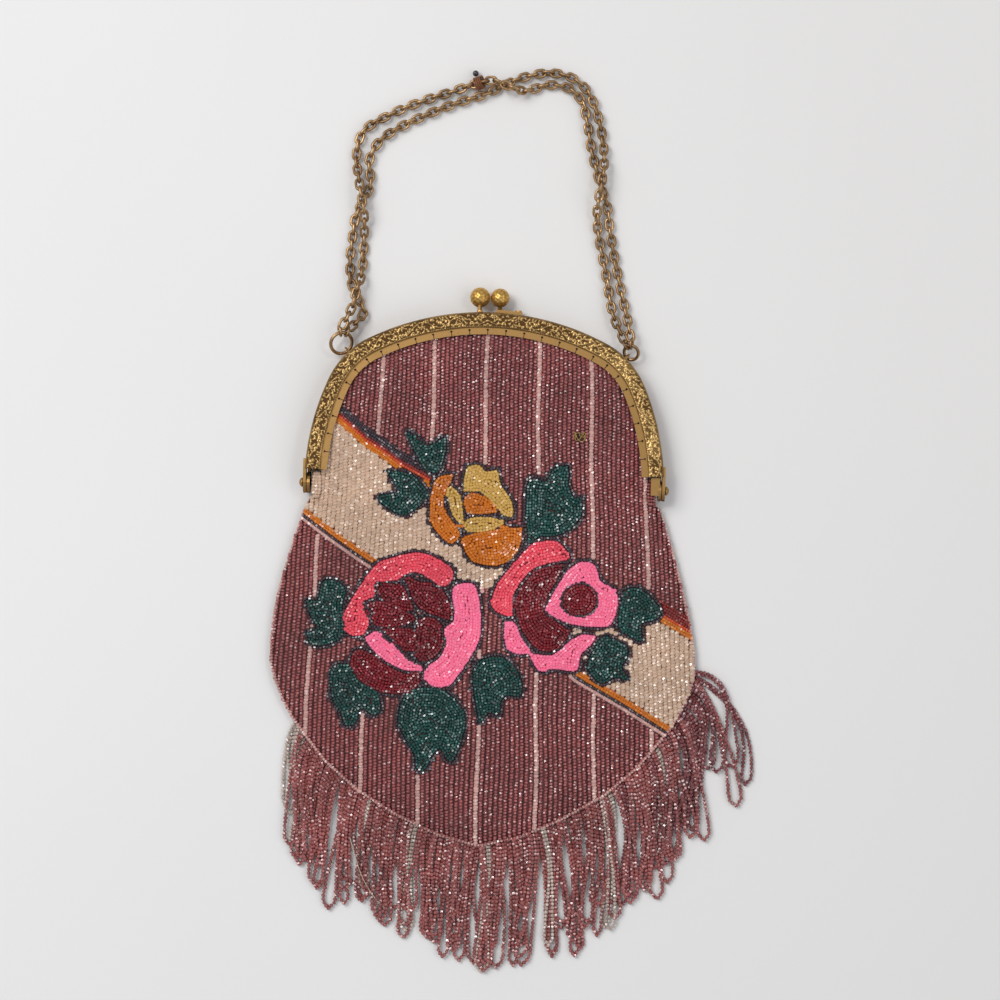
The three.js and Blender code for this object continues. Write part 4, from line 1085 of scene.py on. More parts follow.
@dataclass
class BeadedBag:
    """The knitted pouch: its ground of thread, its beads and the corded seam.

    Attributes:
        middle_pitch: Spacing of the columns at the hinge line.
        pitch_gain: How much wider they stand for each millimetre towards the hem.
        front_row: Spacing of the rows on the front.
        back_row: Spacing of the rows on the back.
        bead: Radius of a bead across its column and along it.
        back_bead: The same on the back.
        stitch: The same for a bead of the embroidery.
        sink: How far a bead's middle lies under the outer surface.
        ground_depth: How far the ground lies under the outer surface.
        sag: How far a row of beads hangs in the middle.
        sway: How far a column wavers from side to side.
        missing: Places where beads are lost, with the radius of the hole.
    """

    middle_pitch: float = 1.80
    pitch_gain: float = 0.00133
    front_row: float = 1.25
    back_row: float = 1.5
    bead: Point2 = (0.84, 0.74)
    back_bead: Point2 = (0.82, 0.80)
    stitch: Point2 = (0.76, 0.69)
    sink: float = 0.80
    ground_depth: float = 0.85
    sag: float = 3.0
    sway: float = 0.3
    missing: tuple[tuple[float, float, float], ...] = ((37.9, 20.7, 1.9), (12.6, -123.1, 0.8))

    def places(self, form: BagForm, pitch_along: float) -> list[tuple[np.ndarray, int]]:
        """Lays out the beads in columns that spread towards the hem.

        Args:
            form: The bag.
            pitch_along: Spacing of the rows.

        Returns:
            X and Y of each bead with the number of its column.
        """
        found = []
        for row in range(int((form.high.y - form.low.y) / pitch_along) + 4):
            base = form.high.y + 2 - row * pitch_along
            pitch = self.middle_pitch - self.pitch_gain * base
            reach = int(90 / pitch)
            for column in range(-reach, reach + 1):
                x = column * pitch
                y = base + self.sag * ((x / 85) ** 2 - 0.4) + (0.5 * pitch_along if column % 2 else 0)
                x += self.sway * math.sin(y / 9 + column / 7)
                if form.covers(x, y, 0.5):
                    found.append((np.array([x, y]), column))
        return found

    def ground(self, node: bpy.types.Object, form: BagForm) -> bpy.types.Object:
        """Makes the knitted ground: the pouch itself, thinned so that the beads stand on it.

        Args:
            node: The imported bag.
            form: The bag's heights.

        Returns:
            The piece.
        """
        shape = bmesh.new()
        shape.from_mesh(node.data)
        bmesh.ops.remove_doubles(shape, verts=shape.verts, dist=1e-6)
        bmesh.ops.scale(shape, vec=Vector((1 / MM,) * 3), verts=shape.verts)
        bmesh.ops.recalc_face_normals(shape, faces=shape.faces)
        shape.normal_update()
        moves = {}
        for vert in shape.verts:
            top, foot = form.height(form.front, *vert.co.xy), form.height(form.back, *vert.co.xy)
            outer = (vert.co.z - (top + foot) / 2) * vert.normal.z > -0.05
            if outer:
                moves[vert] = vert.normal * -min(self.ground_depth, (top - foot) * 0.3)
        for vert, move in moves.items():
            vert.co += move
        return from_bmesh(shape, "bag_ground")

    def build(self, nodes: dict, wardrobe: Wardrobe, pattern: Embroidery) -> BagForm:
        """Makes and dresses every piece of the bag.

        Args:
            nodes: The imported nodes.
            wardrobe: The finishes.
            pattern: The pattern of the front.

        Returns:
            The bag's heights, for the pieces that lie along it.
        """
        chance = np.random.default_rng(7)
        form = BagForm(nodes["bag"])
        thread = Thread("purple_thread", (0.045, 0.012, 0.014), (0.11, 0.036, 0.034)).make()
        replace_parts(dress(self.ground(nodes["bag"], form), thread), "bag")

        knitted = {glass: BeadLot(glass, BeadShape.FRONT) for glass in Glass}
        for place, column in self.places(form, self.front_row):
            glass = pattern.ground_glass(place, column)
            if glass is not None and not self.lost(place):
                self.lay(knitted[glass], form, form.front, place + chance.normal(0, 0.08, 2), self.bead, 1)
        worked = {glass: BeadLot(glass, BeadShape.STITCH) for glass in Glass}
        for place, run, glass in pattern.beads():
            if form.covers(*place, 0.5) and not self.lost(place):
                self.lay(worked[glass], form, form.front, place, self.stitch, 1, run)
        back = {glass: BeadLot(glass, BeadShape.BACK) for glass in (Glass.MAUVE, Glass.STRIPE)}
        for place, column in self.places(form, self.back_row):
            glass = Glass.MAUVE if column % STRIPE_COLUMNS else Glass.STRIPE
            self.lay(back[glass], form, form.back, place + chance.normal(0, 0.06, 2), self.back_bead, -1)
        for kind, lots in (("front", knitted), ("worked", worked), ("back", back)):
            for glass, lot in lots.items():
                if lot.centres:
                    lot.build(f"{kind}_{glass.value.name}", wardrobe, "mauve_beads", chance)
        self.seam(form, wardrobe, chance)
        return form

    def lost(self, place: np.ndarray) -> bool:
        """Says whether the bead at a place is lost."""
        return any(math.hypot(place[0] - x, place[1] - y) < reach for x, y, reach in self.missing)

    def lay(self, lot: BeadLot, form: BagForm, grid: np.ndarray, place: np.ndarray, size: Point2, way: int,
            run: np.ndarray | None = None) -> None:
        """Lays one bead on the cloth.

        Args:
            lot: The beads of its glass.
            form: The bag.
            grid: Heights of the front or the back.
            place: Its X and Y.
            size: Its radius along the thread and across it.
            way: +1 on the front, -1 on the back.
            run: The way its row runs, or nothing for a knitted bead.
        """
        normal = form.normal(grid, *place, way)
        proud = 0.0 if run is None else 0.14
        centre = np.array([*place, form.height(grid, *place)]) - normal * (self.sink - proud)
        swell = lot.glass.value.swell
        centre[2] = max(centre[2], max(size) * swell * 1.1)
        hole = np.array([1.0, 0.25, 0.0]) if run is None else np.array([*run, 0.0]) / np.linalg.norm(run)
        lot.add(centre, normal, hole, (size[0] * swell, size[1] * swell))

    def seam(self, form: BagForm, wardrobe: Wardrobe, chance: np.random.Generator) -> None:
        """Lays the pale edging of small beads along both sides and the hem.

        Args:
            form: The bag.
            wardrobe: The finishes.
            chance: Source of the beads' small differences.
        """
        lot = BeadLot(Glass.STRIPE, BeadShape.FRINGE)
        steps = 900
        last = None
        for k in range(steps + 1):
            angle = math.radians(-128 + 256 * k / steps)
            x, y = form.edge(angle)
            x, y = x - math.sin(angle) * 0.7, y + math.cos(angle) * 0.7
            if y > 0 or (last is not None and math.hypot(x - last[0], y - last[1]) < 1.05):
                continue
            run = np.array([x - last[0], y - last[1], 0]) if last is not None else np.array([0, -1.0, 0])
            last = (x, y)
            out = np.array([math.sin(angle) * 0.5, -math.cos(angle) * 0.5, 0.85])
            lot.add(np.array([x, y, 3.0]), out / np.linalg.norm(out), run / np.linalg.norm(run), (0.68, 0.76))
        lot.build("seam_edging", wardrobe, "mauve_beads", chance)


# The frame

class Arch:
    """The frame's outer edge: crown, shoulders and legs as tangent arcs."""

    def __init__(self) -> None:
        """Works out the centres and the turns of the three arcs of one side."""
        self.arcs: list[tuple[float, Point2, float, float]] = []
        x, y, heading = 0.0, FRAME_RISE, 0.0
        for radius, turn in ((CROWN_RADIUS, CROWN_TURN), (SHOULDER_RADIUS, SHOULDER_TURN), (LEG_RADIUS, None)):
            centre = (x - radius * math.sin(heading), y - radius * math.cos(heading))
            end = math.acos((LEG_END - centre[1]) / radius) if turn is None else heading + turn
            self.arcs.append((radius, centre, heading, end))
            x, y = centre[0] + radius * math.sin(end), centre[1] + radius * math.cos(end)
            heading = end
        self.length = sum(radius * (end - start) for radius, _, start, end in self.arcs)

    def point(self, along: float, inset: float) -> tuple[np.ndarray, np.ndarray]:
        """Gives a place on the arch and the way out of it there.

        Args:
            along: Length from the crown's middle, positive to the right.
            inset: Distance inside the outer edge.

        Returns:
            X and Y of the place, and the outward direction.
        """
        rest = abs(along)
        for radius, centre, start, end in self.arcs:
            if rest <= radius * (end - start) or end == self.arcs[-1][3]:
                break
            rest -= radius * (end - start)
        heading, side = start + rest / radius, math.copysign(1, along)
        out = np.array([side * math.sin(heading), math.cos(heading)])
        return np.array([side * centre[0], centre[1]]) + out * (radius - inset), out

    def locate(self, x: float, y: float) -> tuple[float, float]:
        """Gives the length along the arch from the crown's middle, and the distance inside the edge."""
        before = 0.0
        for number, (radius, centre, start, end) in enumerate(self.arcs):
            heading = math.atan2(abs(x) - centre[0], y - centre[1])
            if heading <= end + 1e-6 or number == len(self.arcs) - 1:
                inset = radius - math.hypot(abs(x) - centre[0], y - centre[1])
                return math.copysign(before + radius * (heading - start), x), inset
            before += radius * (end - start)
        raise ValueError("no arc found")

    def sweep(self, shape: bmesh.types.BMesh, ring: list, pitch: float) -> list:
        """Spins a ring of the profile along the whole arch, from the left leg to the right.

        Args:
            shape: The bmesh that holds the ring.
            ring: Verts and edges of the profile, standing at the left leg's end.
            pitch: Length of one step at the outer edge.

        Returns:
            The verts and edges of the last ring.
        """
        sides = [(arc, -1) for arc in reversed(self.arcs)] + [(arc, 1) for arc in self.arcs]
        for (radius, centre, start, end), side in sides:
            steps = max(2, round(radius * (end - start) / pitch))
            result = bmesh.ops.spin(shape, geom=ring, cent=Vector((side * centre[0], centre[1], 0)),
                                    axis=Vector((0, 0, 1)), angle=-(end - start), steps=steps, use_merge=False)
            ring = result["geom_last"]
        return ring


@dataclass
class EmbossedBand:
    """The scrolled relief of the frame's front half, as a thin shell over its band.

    Attributes:
        step: Spacing of the mesh.
        lift: How far the relief's ground lies over the pressed band.
        relief: Height of the scrolls.
        leaves: Leaves in one bay.
        berries: Berries in one bay.
    """

    step: float
    lift: float = 0.02
    relief: float = 0.4
    leaves: int = 38
    berries: int = 9

    def profile(self) -> list[Point2]:
        """Gives inset and height over the middle plane, from the outer edge over the face to the flange."""
        top = HINGE_PLANE + self.lift
        inner = BAND_WIDTH - 0.1
        rows = [(-0.05, top - EDGE_ROUND - 0.1), (0.12, top - EDGE_ROUND * 0.62), (0.5, top - EDGE_ROUND * 0.25)]
        count = round((inner - 1.3) / self.step)
        rows += [(0.9 + (inner - 1.3) * k / count, top) for k in range(count + 1)]
        rows += [(inner, top - 0.45), (inner - 0.1, top - 0.95)]
        rows += [(EDGE_ROUND + 0.2, top - 0.95), (0.45, top - EDGE_ROUND - 0.35)]
        return rows

    def height(self, along: np.ndarray, across: np.ndarray) -> np.ndarray:
        """Gives the height of the pressed vine, its leaves and its berries.

        Args:
            along: Lengths along the arch from the crown's middle.
            across: Distances inside the outer edge.

        Returns:
            Heights as shares of the relief.
        """
        chance = np.random.default_rng(31)
        bay = 2 * ARCH.length / BAYS
        place = np.abs(along) / bay
        vine = BAND_WIDTH * (0.5 + 0.27 * np.sin(math.pi * place))
        best = 0.6 * np.exp(-((across - vine) / 0.26) ** 2)
        shape = (BAYS, self.leaves)
        leaf_at = (np.arange(self.leaves) + 0.5) / self.leaves + chance.normal(0, 0.03, shape)
        leaf_row = 0.5 + 0.24 * np.where(np.arange(self.leaves) % 2, 1, -1) + chance.normal(0, 0.15, shape)
        leaf_turn = np.where(np.arange(self.leaves) % 2, 0.8, -0.8) + chance.normal(0, 0.6, shape)
        leaf_long, leaf_wide = chance.uniform(0.5, 0.95, shape), chance.uniform(0.24, 0.4, shape)
        berry_at, berry_row = chance.uniform(0, 1, (BAYS, self.berries)), chance.uniform(0.2, 0.8, (BAYS, self.berries))
        for near in (-1, 0, 1):
            number = np.clip(np.floor(place).astype(int) + near, 0, BAYS - 1)
            for k in range(self.leaves):
                dx = (place - number - leaf_at[number, k]) * bay
                dy = across - leaf_row[number, k] * BAND_WIDTH
                turn = leaf_turn[number, k]
                u, v = dx * np.cos(turn) + dy * np.sin(turn), -dx * np.sin(turn) + dy * np.cos(turn)
                v = v + 0.25 * u * u
                body = 1 - (u / leaf_long[number, k]) ** 2 - (v / leaf_wide[number, k]) ** 2
                best = np.maximum(best, np.sqrt(body.clip(0)) * (1 - 0.35 * np.exp(-(v / 0.1) ** 2)))
            for k in range(self.berries):
                dx = (place - number - berry_at[number, k]) * bay
                dy = across - berry_row[number, k] * BAND_WIDTH
                best = np.maximum(best, 1.1 * np.sqrt((1 - (dx * dx + dy * dy) / 0.12).clip(0)))
        bead = 0.5 + 0.5 * np.cos(2 * math.pi * along / 0.95)
        edge = 0.75 * np.exp(-((across - BAND_WIDTH + 0.5) / 0.28) ** 2) * (0.4 + 0.6 * bead)
        share = 1 - np.abs(across / BAND_WIDTH - 0.5) * 2
        return np.maximum(best * (share * 6).clip(0, 1), edge)

    def build(self, wardrobe: Wardrobe) -> bpy.types.Object:
        """Spins the band along the arch, raises its scrolls and dresses it.

        Args:
            wardrobe: The finishes.

        Returns:
            The piece.
        """
        shape = bmesh.new()
        _, centre, _, end = ARCH.arcs[-1]
        corners = []
        for inset, height in self.profile():
            reach = LEG_RADIUS - inset
            x, y = -(centre[0] + reach * math.sin(end)), centre[1] + reach * math.cos(end)
            corners.append(shape.verts.new((x, y, HINGE_PLANE + height)))
        edges = [shape.edges.new((a, b)) for a, b in zip(corners, corners[1:] + corners[:1])]
        shape.faces.new(corners)
        last = ARCH.sweep(shape, corners + edges, self.step)
        shape.faces.new([item for item in last if isinstance(item, bmesh.types.BMVert)])
        bmesh.ops.remove_doubles(shape, verts=shape.verts, dist=1e-4)
        hollow = shape.verts.layers.float.new("hollow")
        spots = np.array([ARCH.locate(vert.co.x, vert.co.y) for vert in shape.verts])
        heights = self.height(spots[:, 0], spots[:, 1])
        ground = HINGE_PLANE + self.lift - 0.02
        for vert, (along, _), value in zip(shape.verts, spots, heights):
            worn = 0.26 * math.exp(-(along / 42) ** 4) + (0.1 if along < -42 else -0.1 if along > 42 else 0.0)
            # On the band's face, brown in the relief's hollows is patina; the sloping sides and underside take a fixed
            # brown that is painted shade.
            if vert.co.z - HINGE_PLANE > ground:
                vert.co.z += self.relief * value
                vert[hollow] = min(1.0, max(0.0, 0.86 - 1.15 * value + worn))
            else:
                vert[hollow] = 0.55
        return dress(from_bmesh(shape, "embossed_front"), wardrobe.get(Metal.EMBOSSED))


ARCH = Arch()


@dataclass
class SewingStitches:
    """The stitches that hold the cloth to the two flanges, one from each sewing hole.

    Attributes:
        thick: Thickness of the thread.
        start: Distance of the hole inside the frame's edge.
    """

    thick: float = 0.3
    start: float = 7.1

    def build(self, thread: bpy.types.Material) -> None:
        """Lays the stitches of both halves.

        Args:
            thread: Their material.
        """
        long = BAND_WIDTH + FLANGE_WIDTH + 0.35 - self.start
        shape = bmesh.new()
        bmesh.ops.create_cone(shape, cap_ends=True, segments=6, radius1=0.5, radius2=0.5, depth=1.0)
        ends = [edge for edge in shape.edges if abs(edge.verts[0].co.z - edge.verts[1].co.z) < 0.1]
        bmesh.ops.bevel(shape, geom=ends, offset=0.15, segments=1, profile=0.5, affect="EDGES", material=-1)
        points, triangles = triangles_of(shape)
        centres, axes = [], []
        for side in (1, -1):
            for bay in range(1, BAYS):
                along = ARCH.length * (2 * bay / BAYS - 1)
                place, out = ARCH.point(along, self.start + long / 2)
                centres.append([*place, HINGE_PLANE + side * (FLANGE_HEIGHT + self.thick * 0.3)])
                across = np.array([-out[1], out[0], 0.0]) * self.thick
                axes.append([across, [0, 0, self.thick], [out[0] * long, out[1] * long, 0.0]])
        piece = repeat_shape("sewing_stitches", points, triangles, np.array(centres), np.array(axes), {}, True)
        dress(piece, thread)


@dataclass
class ClaspBall:
    """An engraved ball of the kiss-lock, as a shell over the plain ball.

    Attributes:
        node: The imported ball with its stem.
        across: Diameter of the ball.
        middle: X of its centre.
        bosses: Small engraved bosses all over it.
    """

    node: str
    across: float
    middle: float
    bosses: int = 84

    def build(self, wardrobe: Wardrobe) -> bpy.types.Object:
        """Makes the ball with its bosses and the lines between them.

        Args:
            wardrobe: The finishes.

        Returns:
            The piece.
        """
        _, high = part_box(self.node)
        radius = self.across / 2
        centre = Vector((self.middle, high.y / MM - radius, high.z / MM - radius))
        shape = bmesh.new()
        bmesh.ops.create_icosphere(shape, subdivisions=5, radius=radius + 0.06)
        number = np.arange(self.bosses) + 0.5
        rise = 1 - 2 * number / self.bosses
        turn = number * math.pi * (3 - math.sqrt(5))
        knobs = np.stack([np.sqrt(1 - rise ** 2) * np.cos(turn), np.sqrt(1 - rise ** 2) * np.sin(turn), rise], axis=1)
        ways = np.array([vert.co.normalized()[:] for vert in shape.verts])
        away = np.arccos((ways @ knobs.T).max(axis=1).clip(-1, 1))
        reach = 1.9 / math.sqrt(self.bosses)
        heights = np.sqrt((1 - (away / reach) ** 2).clip(0))
        hollow = shape.verts.layers.float.new("hollow")
        for vert, height in zip(shape.verts, heights):
            vert.co *= 1 + 0.045 * height
            vert[hollow] = 0.7 * (1 - height) ** 1.4
        bmesh.ops.rotate(shape, verts=shape.verts, matrix=Matrix.Rotation(math.radians(28), 3, "X"))
        bmesh.ops.translate(shape, verts=shape.verts, vec=centre)
        piece = from_bmesh(shape, self.node.replace("clasp_ball", "engraved_ball"))
        return dress(piece, wardrobe.get(Metal.BALLS))


@dataclass
class CornerGather:
    """The gathered corner of the cloth beside one hinge, bound with thread and covered with beads.

    Attributes:
        side: +1 on the right and -1 on the left.
        glass: The glass of its beads.
        middle: Its centre, on the right side.
        half: Its half sizes.
        rows: Rows of beads along it.
    """

    side: int
    glass: Glass
    middle: tuple[float, float, float] = (66.9, -0.8, 6.7)
    half: tuple[float, float, float] = (1.15, 4.6, 1.5)
    rows: int = 8

    def build(self, wardrobe: Wardrobe, thread: bpy.types.Material) -> None:
        """Makes the bound corner and its beads.

        Args:
            wardrobe: The finishes.
            thread: The thread's material.
        """
        middle = Vector((self.side * self.middle[0], self.middle[1], self.middle[2]))
        shape = bmesh.new()
        bmesh.ops.create_uvsphere(shape, u_segments=16, v_segments=10, radius=1.0)
        bmesh.ops.scale(shape, verts=shape.verts, vec=Vector(self.half))
        bmesh.ops.translate(shape, verts=shape.verts, vec=middle)
        name = "right" if self.side > 0 else "left"
        dress(from_bmesh(shape, f"corner_gather_{name}"), thread)
        lot = BeadLot(self.glass, BeadShape.STITCH)
        size = (0.72 * self.glass.value.swell, 0.7 * self.glass.value.swell)
        for row in range(self.rows):
            share = (row + 0.5) / self.rows * 2 - 1
            for column in (-1, 0, 1):
                x = middle.x + column * 1.25 * math.sqrt(1 - share * share)
                z = middle.z + self.half[2] * math.sqrt(1 - share * share) + 0.35 - 0.35 * abs(column)
                lot.add(np.array([x, middle.y + share * (self.half[1] + 0.6), z]), np.array([0, 0, 1.0]),
                        np.array([1.0, 0.2, 0.0]), size)
        lot.build(f"corner_beads_{name}", wardrobe, "mauve_beads", np.random.default_rng(41 + self.side))


def rounded_copy(node: bpy.types.Object, name: str, swell: float) -> bpy.types.Object:
    """Makes a smooth copy of a small round piece of the model, to stand for it.

    Args:
        node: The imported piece.
        name: The copy's name.
        swell: How far its skin is moved out, to make up for the rounding.

    Returns:
        The copy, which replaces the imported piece.
    """
    shape = bmesh.new()
    shape.from_mesh(node.data)
    bmesh.ops.remove_doubles(shape, verts=shape.verts, dist=1e-6)
    bmesh.ops.scale(shape, vec=Vector((1 / MM,) * 3), verts=shape.verts)
    bmesh.ops.recalc_face_normals(shape, faces=shape.faces)
    shape.normal_update()
    for vert, normal in [(vert, vert.normal.copy()) for vert in shape.verts]:
        vert.co += normal * swell
    bmesh.ops.join_triangles(shape, faces=shape.faces, angle_face_threshold=0.6, angle_shape_threshold=0.9)
    piece = from_bmesh(shape, name)
    finer = piece.modifiers.new("finer", "SUBSURF")
    finer.levels = finer.render_levels = 2
    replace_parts(piece, node.name)
    return piece


# The chain

OUTER_ROUTE = (
    (-54.2, 71.5, 1), (-53.1, 76.3, 1), (-51.8, 81, 0.7), (-51, 86.5, 0.1), (-50.8, 92.5, 0),
    (-50.6, 98.5, 0), (-50.5, 104, 0.45), (-50.8, 109, 1), (-52, 115.5, 1.05), (-53.2, 122, 0.6),
    (-54.2, 128, 0.1), (-54.3, 134, 0), (-51.8, 141.5, 0), (-42.8, 147.7, 0), (-29.9, 153.6, 0),
    (-16.3, 158.4, 0), (-7, 161.4, 0.4), (-0.4, 162.4, 1), (4.2, 160.9, 1.05), (8.8, 159.4, 1),
    (12.6, 159.1, 0.4), (16.9, 160.4, 0), (21, 161.7, 0), (25.8, 161.8, 0), (31, 160.2, 0),
    (35.4, 155.6, 0), (38, 146.1, 0), (39.6, 137, 0), (41.6, 129.3, 0), (43.8, 122, 0), (46.5, 114.5, 0),
    (47.9, 104.5, 0), (50.3, 92, 0), (52, 84.5, 0), (53.7, 77, 0.05), (55.6, 69.5, 0.3),
)
INNER_ROUTE = (
    (-50.1, 69, 0.1), (-52.6, 74.5, 0), (-55.3, 80.5, 0), (-56, 90.1, 0), (-55.2, 99.5, 0),
    (-53.8, 108.5, 0), (-50.6, 114.8, 0), (-48.6, 120.5, 0), (-49.2, 130, 0), (-45.8, 137.1, 0),
    (-38.4, 142.8, 0), (-27.4, 148.4, 0), (-15, 153.6, 0), (-5.4, 156.8, 0), (1.7, 160, 0),
    (7.9, 163.1, 0), (14, 165.3, 0), (21, 166.6, 0), (28, 166, 0.1), (33.7, 163.4, 0.2), (38, 159, 0.1),
    (42.2, 149.3, 0.1), (44.4, 139, 0.1), (44.9, 131, 0.6), (44.5, 126, 1.05), (43.7, 121, 1.1),
    (43, 116, 1), (42.6, 111, 0.5), (43.1, 104, 0.05), (44.2, 98, 0), (45.6, 92, 0), (47.2, 84, 0),
    (48.6, 76.5, 0.1), (50.2, 69.5, 0.5),
)


def smooth_route(points: np.ndarray, fine: int = 24) -> np.ndarray:
    """Runs a centripetal curve through points.

    Args:
        points: One row per point.
        fine: Steps from one point to the next.

    Returns:
        The curve as closely spaced points.
    """
    padded = np.vstack([2 * points[0] - points[1], points, 2 * points[-1] - points[-2]])
    rows = []
    for p0, p1, p2, p3 in zip(padded, padded[1:], padded[2:], padded[3:]):
        t0 = 0.0
        t1 = t0 + max(np.linalg.norm(p1 - p0), 1e-6) ** 0.5
        t2 = t1 + max(np.linalg.norm(p2 - p1), 1e-6) ** 0.5
        t3 = t2 + max(np.linalg.norm(p3 - p2), 1e-6) ** 0.5
        for t in np.linspace(t1, t2, fine, endpoint=False):
            a1 = (t1 - t) / (t1 - t0) * p0 + (t - t0) / (t1 - t0) * p1
            a2 = (t2 - t) / (t2 - t1) * p1 + (t - t1) / (t2 - t1) * p2
            a3 = (t3 - t) / (t3 - t2) * p2 + (t - t2) / (t3 - t2) * p3
            b1 = (t2 - t) / (t2 - t0) * a1 + (t - t0) / (t2 - t0) * a2
            b2 = (t3 - t) / (t3 - t1) * a2 + (t - t1) / (t3 - t1) * a3
            rows.append((t2 - t) / (t2 - t1) * b1 + (t - t1) / (t2 - t1) * b2)
    return np.vstack([rows, points[-1:]])


def even_places(curve: np.ndarray, distances: np.ndarray) -> tuple[np.ndarray, np.ndarray]:
    """Finds places and directions at given lengths along a curve.

    Args:
        curve: Closely spaced points.
        distances: Lengths from its start.

    Returns:
        The places and the directions there.
    """
    runs = np.concatenate([[0], np.cumsum(np.linalg.norm(np.diff(curve, axis=0), axis=1))])

    def read(at: np.ndarray) -> np.ndarray:
        return np.stack([np.interp(at, runs, curve[:, k]) for k in range(3)], axis=1)

    ahead = read(np.minimum(distances + 0.8, runs[-1])) - read(np.maximum(distances - 0.8, 0))
    return read(distances), ahead / np.linalg.norm(ahead, axis=1, keepdims=True)


@dataclass
class CableChain:
    """One strand of single links, from the end link at the left ring to the one at the right.

    Attributes:
        name: outer or inner.
        route: The points it follows, with how high it rides.
        long: Outside length of a link.
        wide: Outside width.
        wire: Thickness of its wire.
        lie: Height of its middle over the table.
        ride: How much higher it is where it lies over the other strand.
    """

    name: str
    route: tuple[tuple[float, float, float], ...]
    long: float = 5.7
    wide: float = 4.1
    wire: float = 1.2
    lie: float = 2.05
    ride: float = 3.9

    def link_shape(self) -> tuple[np.ndarray, np.ndarray]:
        """Makes one link, its length along X and flat in XY.

        Returns:
            Its points and triangles.
        """
        shape = bmesh.new()
        radius = (self.wide - self.wire) / 2
        circle = bmesh.ops.create_circle(shape, segments=6, radius=self.wire / 2)["verts"]
        bmesh.ops.rotate(shape, verts=circle, matrix=Matrix.Rotation(math.pi / 2, 3, "X"))
        bmesh.ops.translate(shape, verts=circle, vec=Vector((radius, 0, 0)))
        bmesh.ops.spin(shape, geom=shape.verts[:] + shape.edges[:], cent=Vector(), axis=Vector((0, 0, 1)),
                       angle=2 * math.pi, steps=14, use_merge=True)
        stretch = (self.long - self.wide) / 2
        for vert in shape.verts:
            vert.co.x += math.copysign(stretch, vert.co.x) * min(1, abs(vert.co.x) / 0.5)
        return triangles_of(shape)

    def build(self, wardrobe: Wardrobe) -> bpy.types.Object:
        """Strings the links along the route.

        Args:
            wardrobe: The finishes.

        Returns:
            The piece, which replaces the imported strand.
        """
        chance = np.random.default_rng(11 if self.name == "outer" else 12)
        ends = []
        for side in ("left", "right"):
            low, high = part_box(f"end_link_{side}_{self.name}")
            ends.append(np.array((low + high) / 2) / MM)
        middle = np.array([(x, y, self.lie + level * self.ride) for x, y, level in self.route])
        curve = smooth_route(np.vstack([ends[0], middle, ends[1]]))
        total = np.linalg.norm(np.diff(curve, axis=0), axis=1).sum()
        inner = self.long - 2 * self.wire
        spaces = 2 * round(total / inner / 2)
        places, along = even_places(curve, np.linspace(0, total, spaces + 1)[1:-1])
        turns = np.arange(len(places)) % 2 * math.pi / 2 + chance.normal(0, 0.16, len(places))
        level = np.cross(np.array([0, 0, 1.0]), along)
        level /= np.linalg.norm(level, axis=1, keepdims=True)
        over = np.cross(along, level)
        width = level * np.cos(turns)[:, None] + over * np.sin(turns)[:, None]
        axes = np.stack([along, width, np.cross(along, width)], axis=1)
        points, triangles = self.link_shape()
        piece = repeat_shape(f"chain_links_{self.name}", points, triangles, places, axes, {}, True)
        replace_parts(piece, f"chain_strand_{self.name}")
        return dress(piece, wardrobe.get(Metal.CHAIN))


@dataclass
class JoiningWire:
    """The rusted wire that ties the strand at the top, with its small bead.

    Attributes:
        wire: Thickness of the wire.
        turns: Turns round the strand.
        pitch: Distance from turn to turn.
    """

    wire: float = 0.75
    turns: int = 4
    pitch: float = 0.8

    def coil(self, radius: float, lean: float, offset: float) -> bmesh.types.BMesh:
        """Makes one bundle of turns round the X axis.

        Args:
            radius: Radius of the turns.
            lean: How far they lean.
            offset: Where the bundle stands along the axis.

        Returns:
            The shape.
        """
        shape = bmesh.new()
        bmesh.ops.create_circle(shape, cap_ends=True, segments=8, radius=self.wire / 2)
        bmesh.ops.translate(shape, verts=shape.verts, vec=Vector((0, radius, 0)))
        steps = 14 * self.turns
        climb = self.pitch * self.turns / steps
        bmesh.ops.rotate(shape, verts=shape.verts, matrix=Matrix.Rotation(math.pi / 2, 3, "Y"),
                         cent=Vector((0, 0, 0)))
        bmesh.ops.rotate(shape, verts=shape.verts, matrix=Matrix.Rotation(math.pi / 2, 3, "Y"))
        bmesh.ops.spin(shape, geom=shape.verts[:] + shape.edges[:] + shape.faces[:], cent=Vector(),
                       axis=Vector((1, 0, 0)), dvec=Vector((climb, 0, 0)), angle=2 * math.pi * self.turns,
                       steps=steps)
        bmesh.ops.translate(shape, verts=shape.verts, vec=Vector((offset - self.pitch * self.turns / 2, 0, 0)))
        bmesh.ops.rotate(shape, verts=shape.verts, matrix=Matrix.Rotation(lean, 3, "Z"))
        return shape

    def build(self, wardrobe: Wardrobe) -> None:
        """Makes the wire and its bead.

        Args:
            wardrobe: The finishes.
        """
        low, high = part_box("join_ring")
        centre = (low + high) / 2 / MM
        along = Vector((0.942, 0.195, 0.273)).normalized()
        turn = Vector((1, 0, 0)).rotation_difference(along).to_matrix()
        shape = self.coil(2.45, math.radians(6), 0.0)
        bmesh.ops.rotate(shape, verts=shape.verts, matrix=turn)
        bmesh.ops.translate(shape, verts=shape.verts, vec=centre)
        wire = from_bmesh(shape, "joining_wire")
        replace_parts(wire, "join_ring")
        dress(wire, wardrobe.get(Metal.RUSTED))

        low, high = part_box("join_bead")
        bead = bmesh.new()
        bmesh.ops.create_uvsphere(bead, u_segments=24, v_segments=14, radius=(high.x - low.x) / 2 / MM)
        bmesh.ops.translate(bead, verts=bead.verts, vec=(low + high) / 2 / MM)
        piece = from_bmesh(bead, "dark_bead")
        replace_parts(piece, "join_bead")
        dress(piece, wardrobe.get(Glass.IRIS))


# The fringe

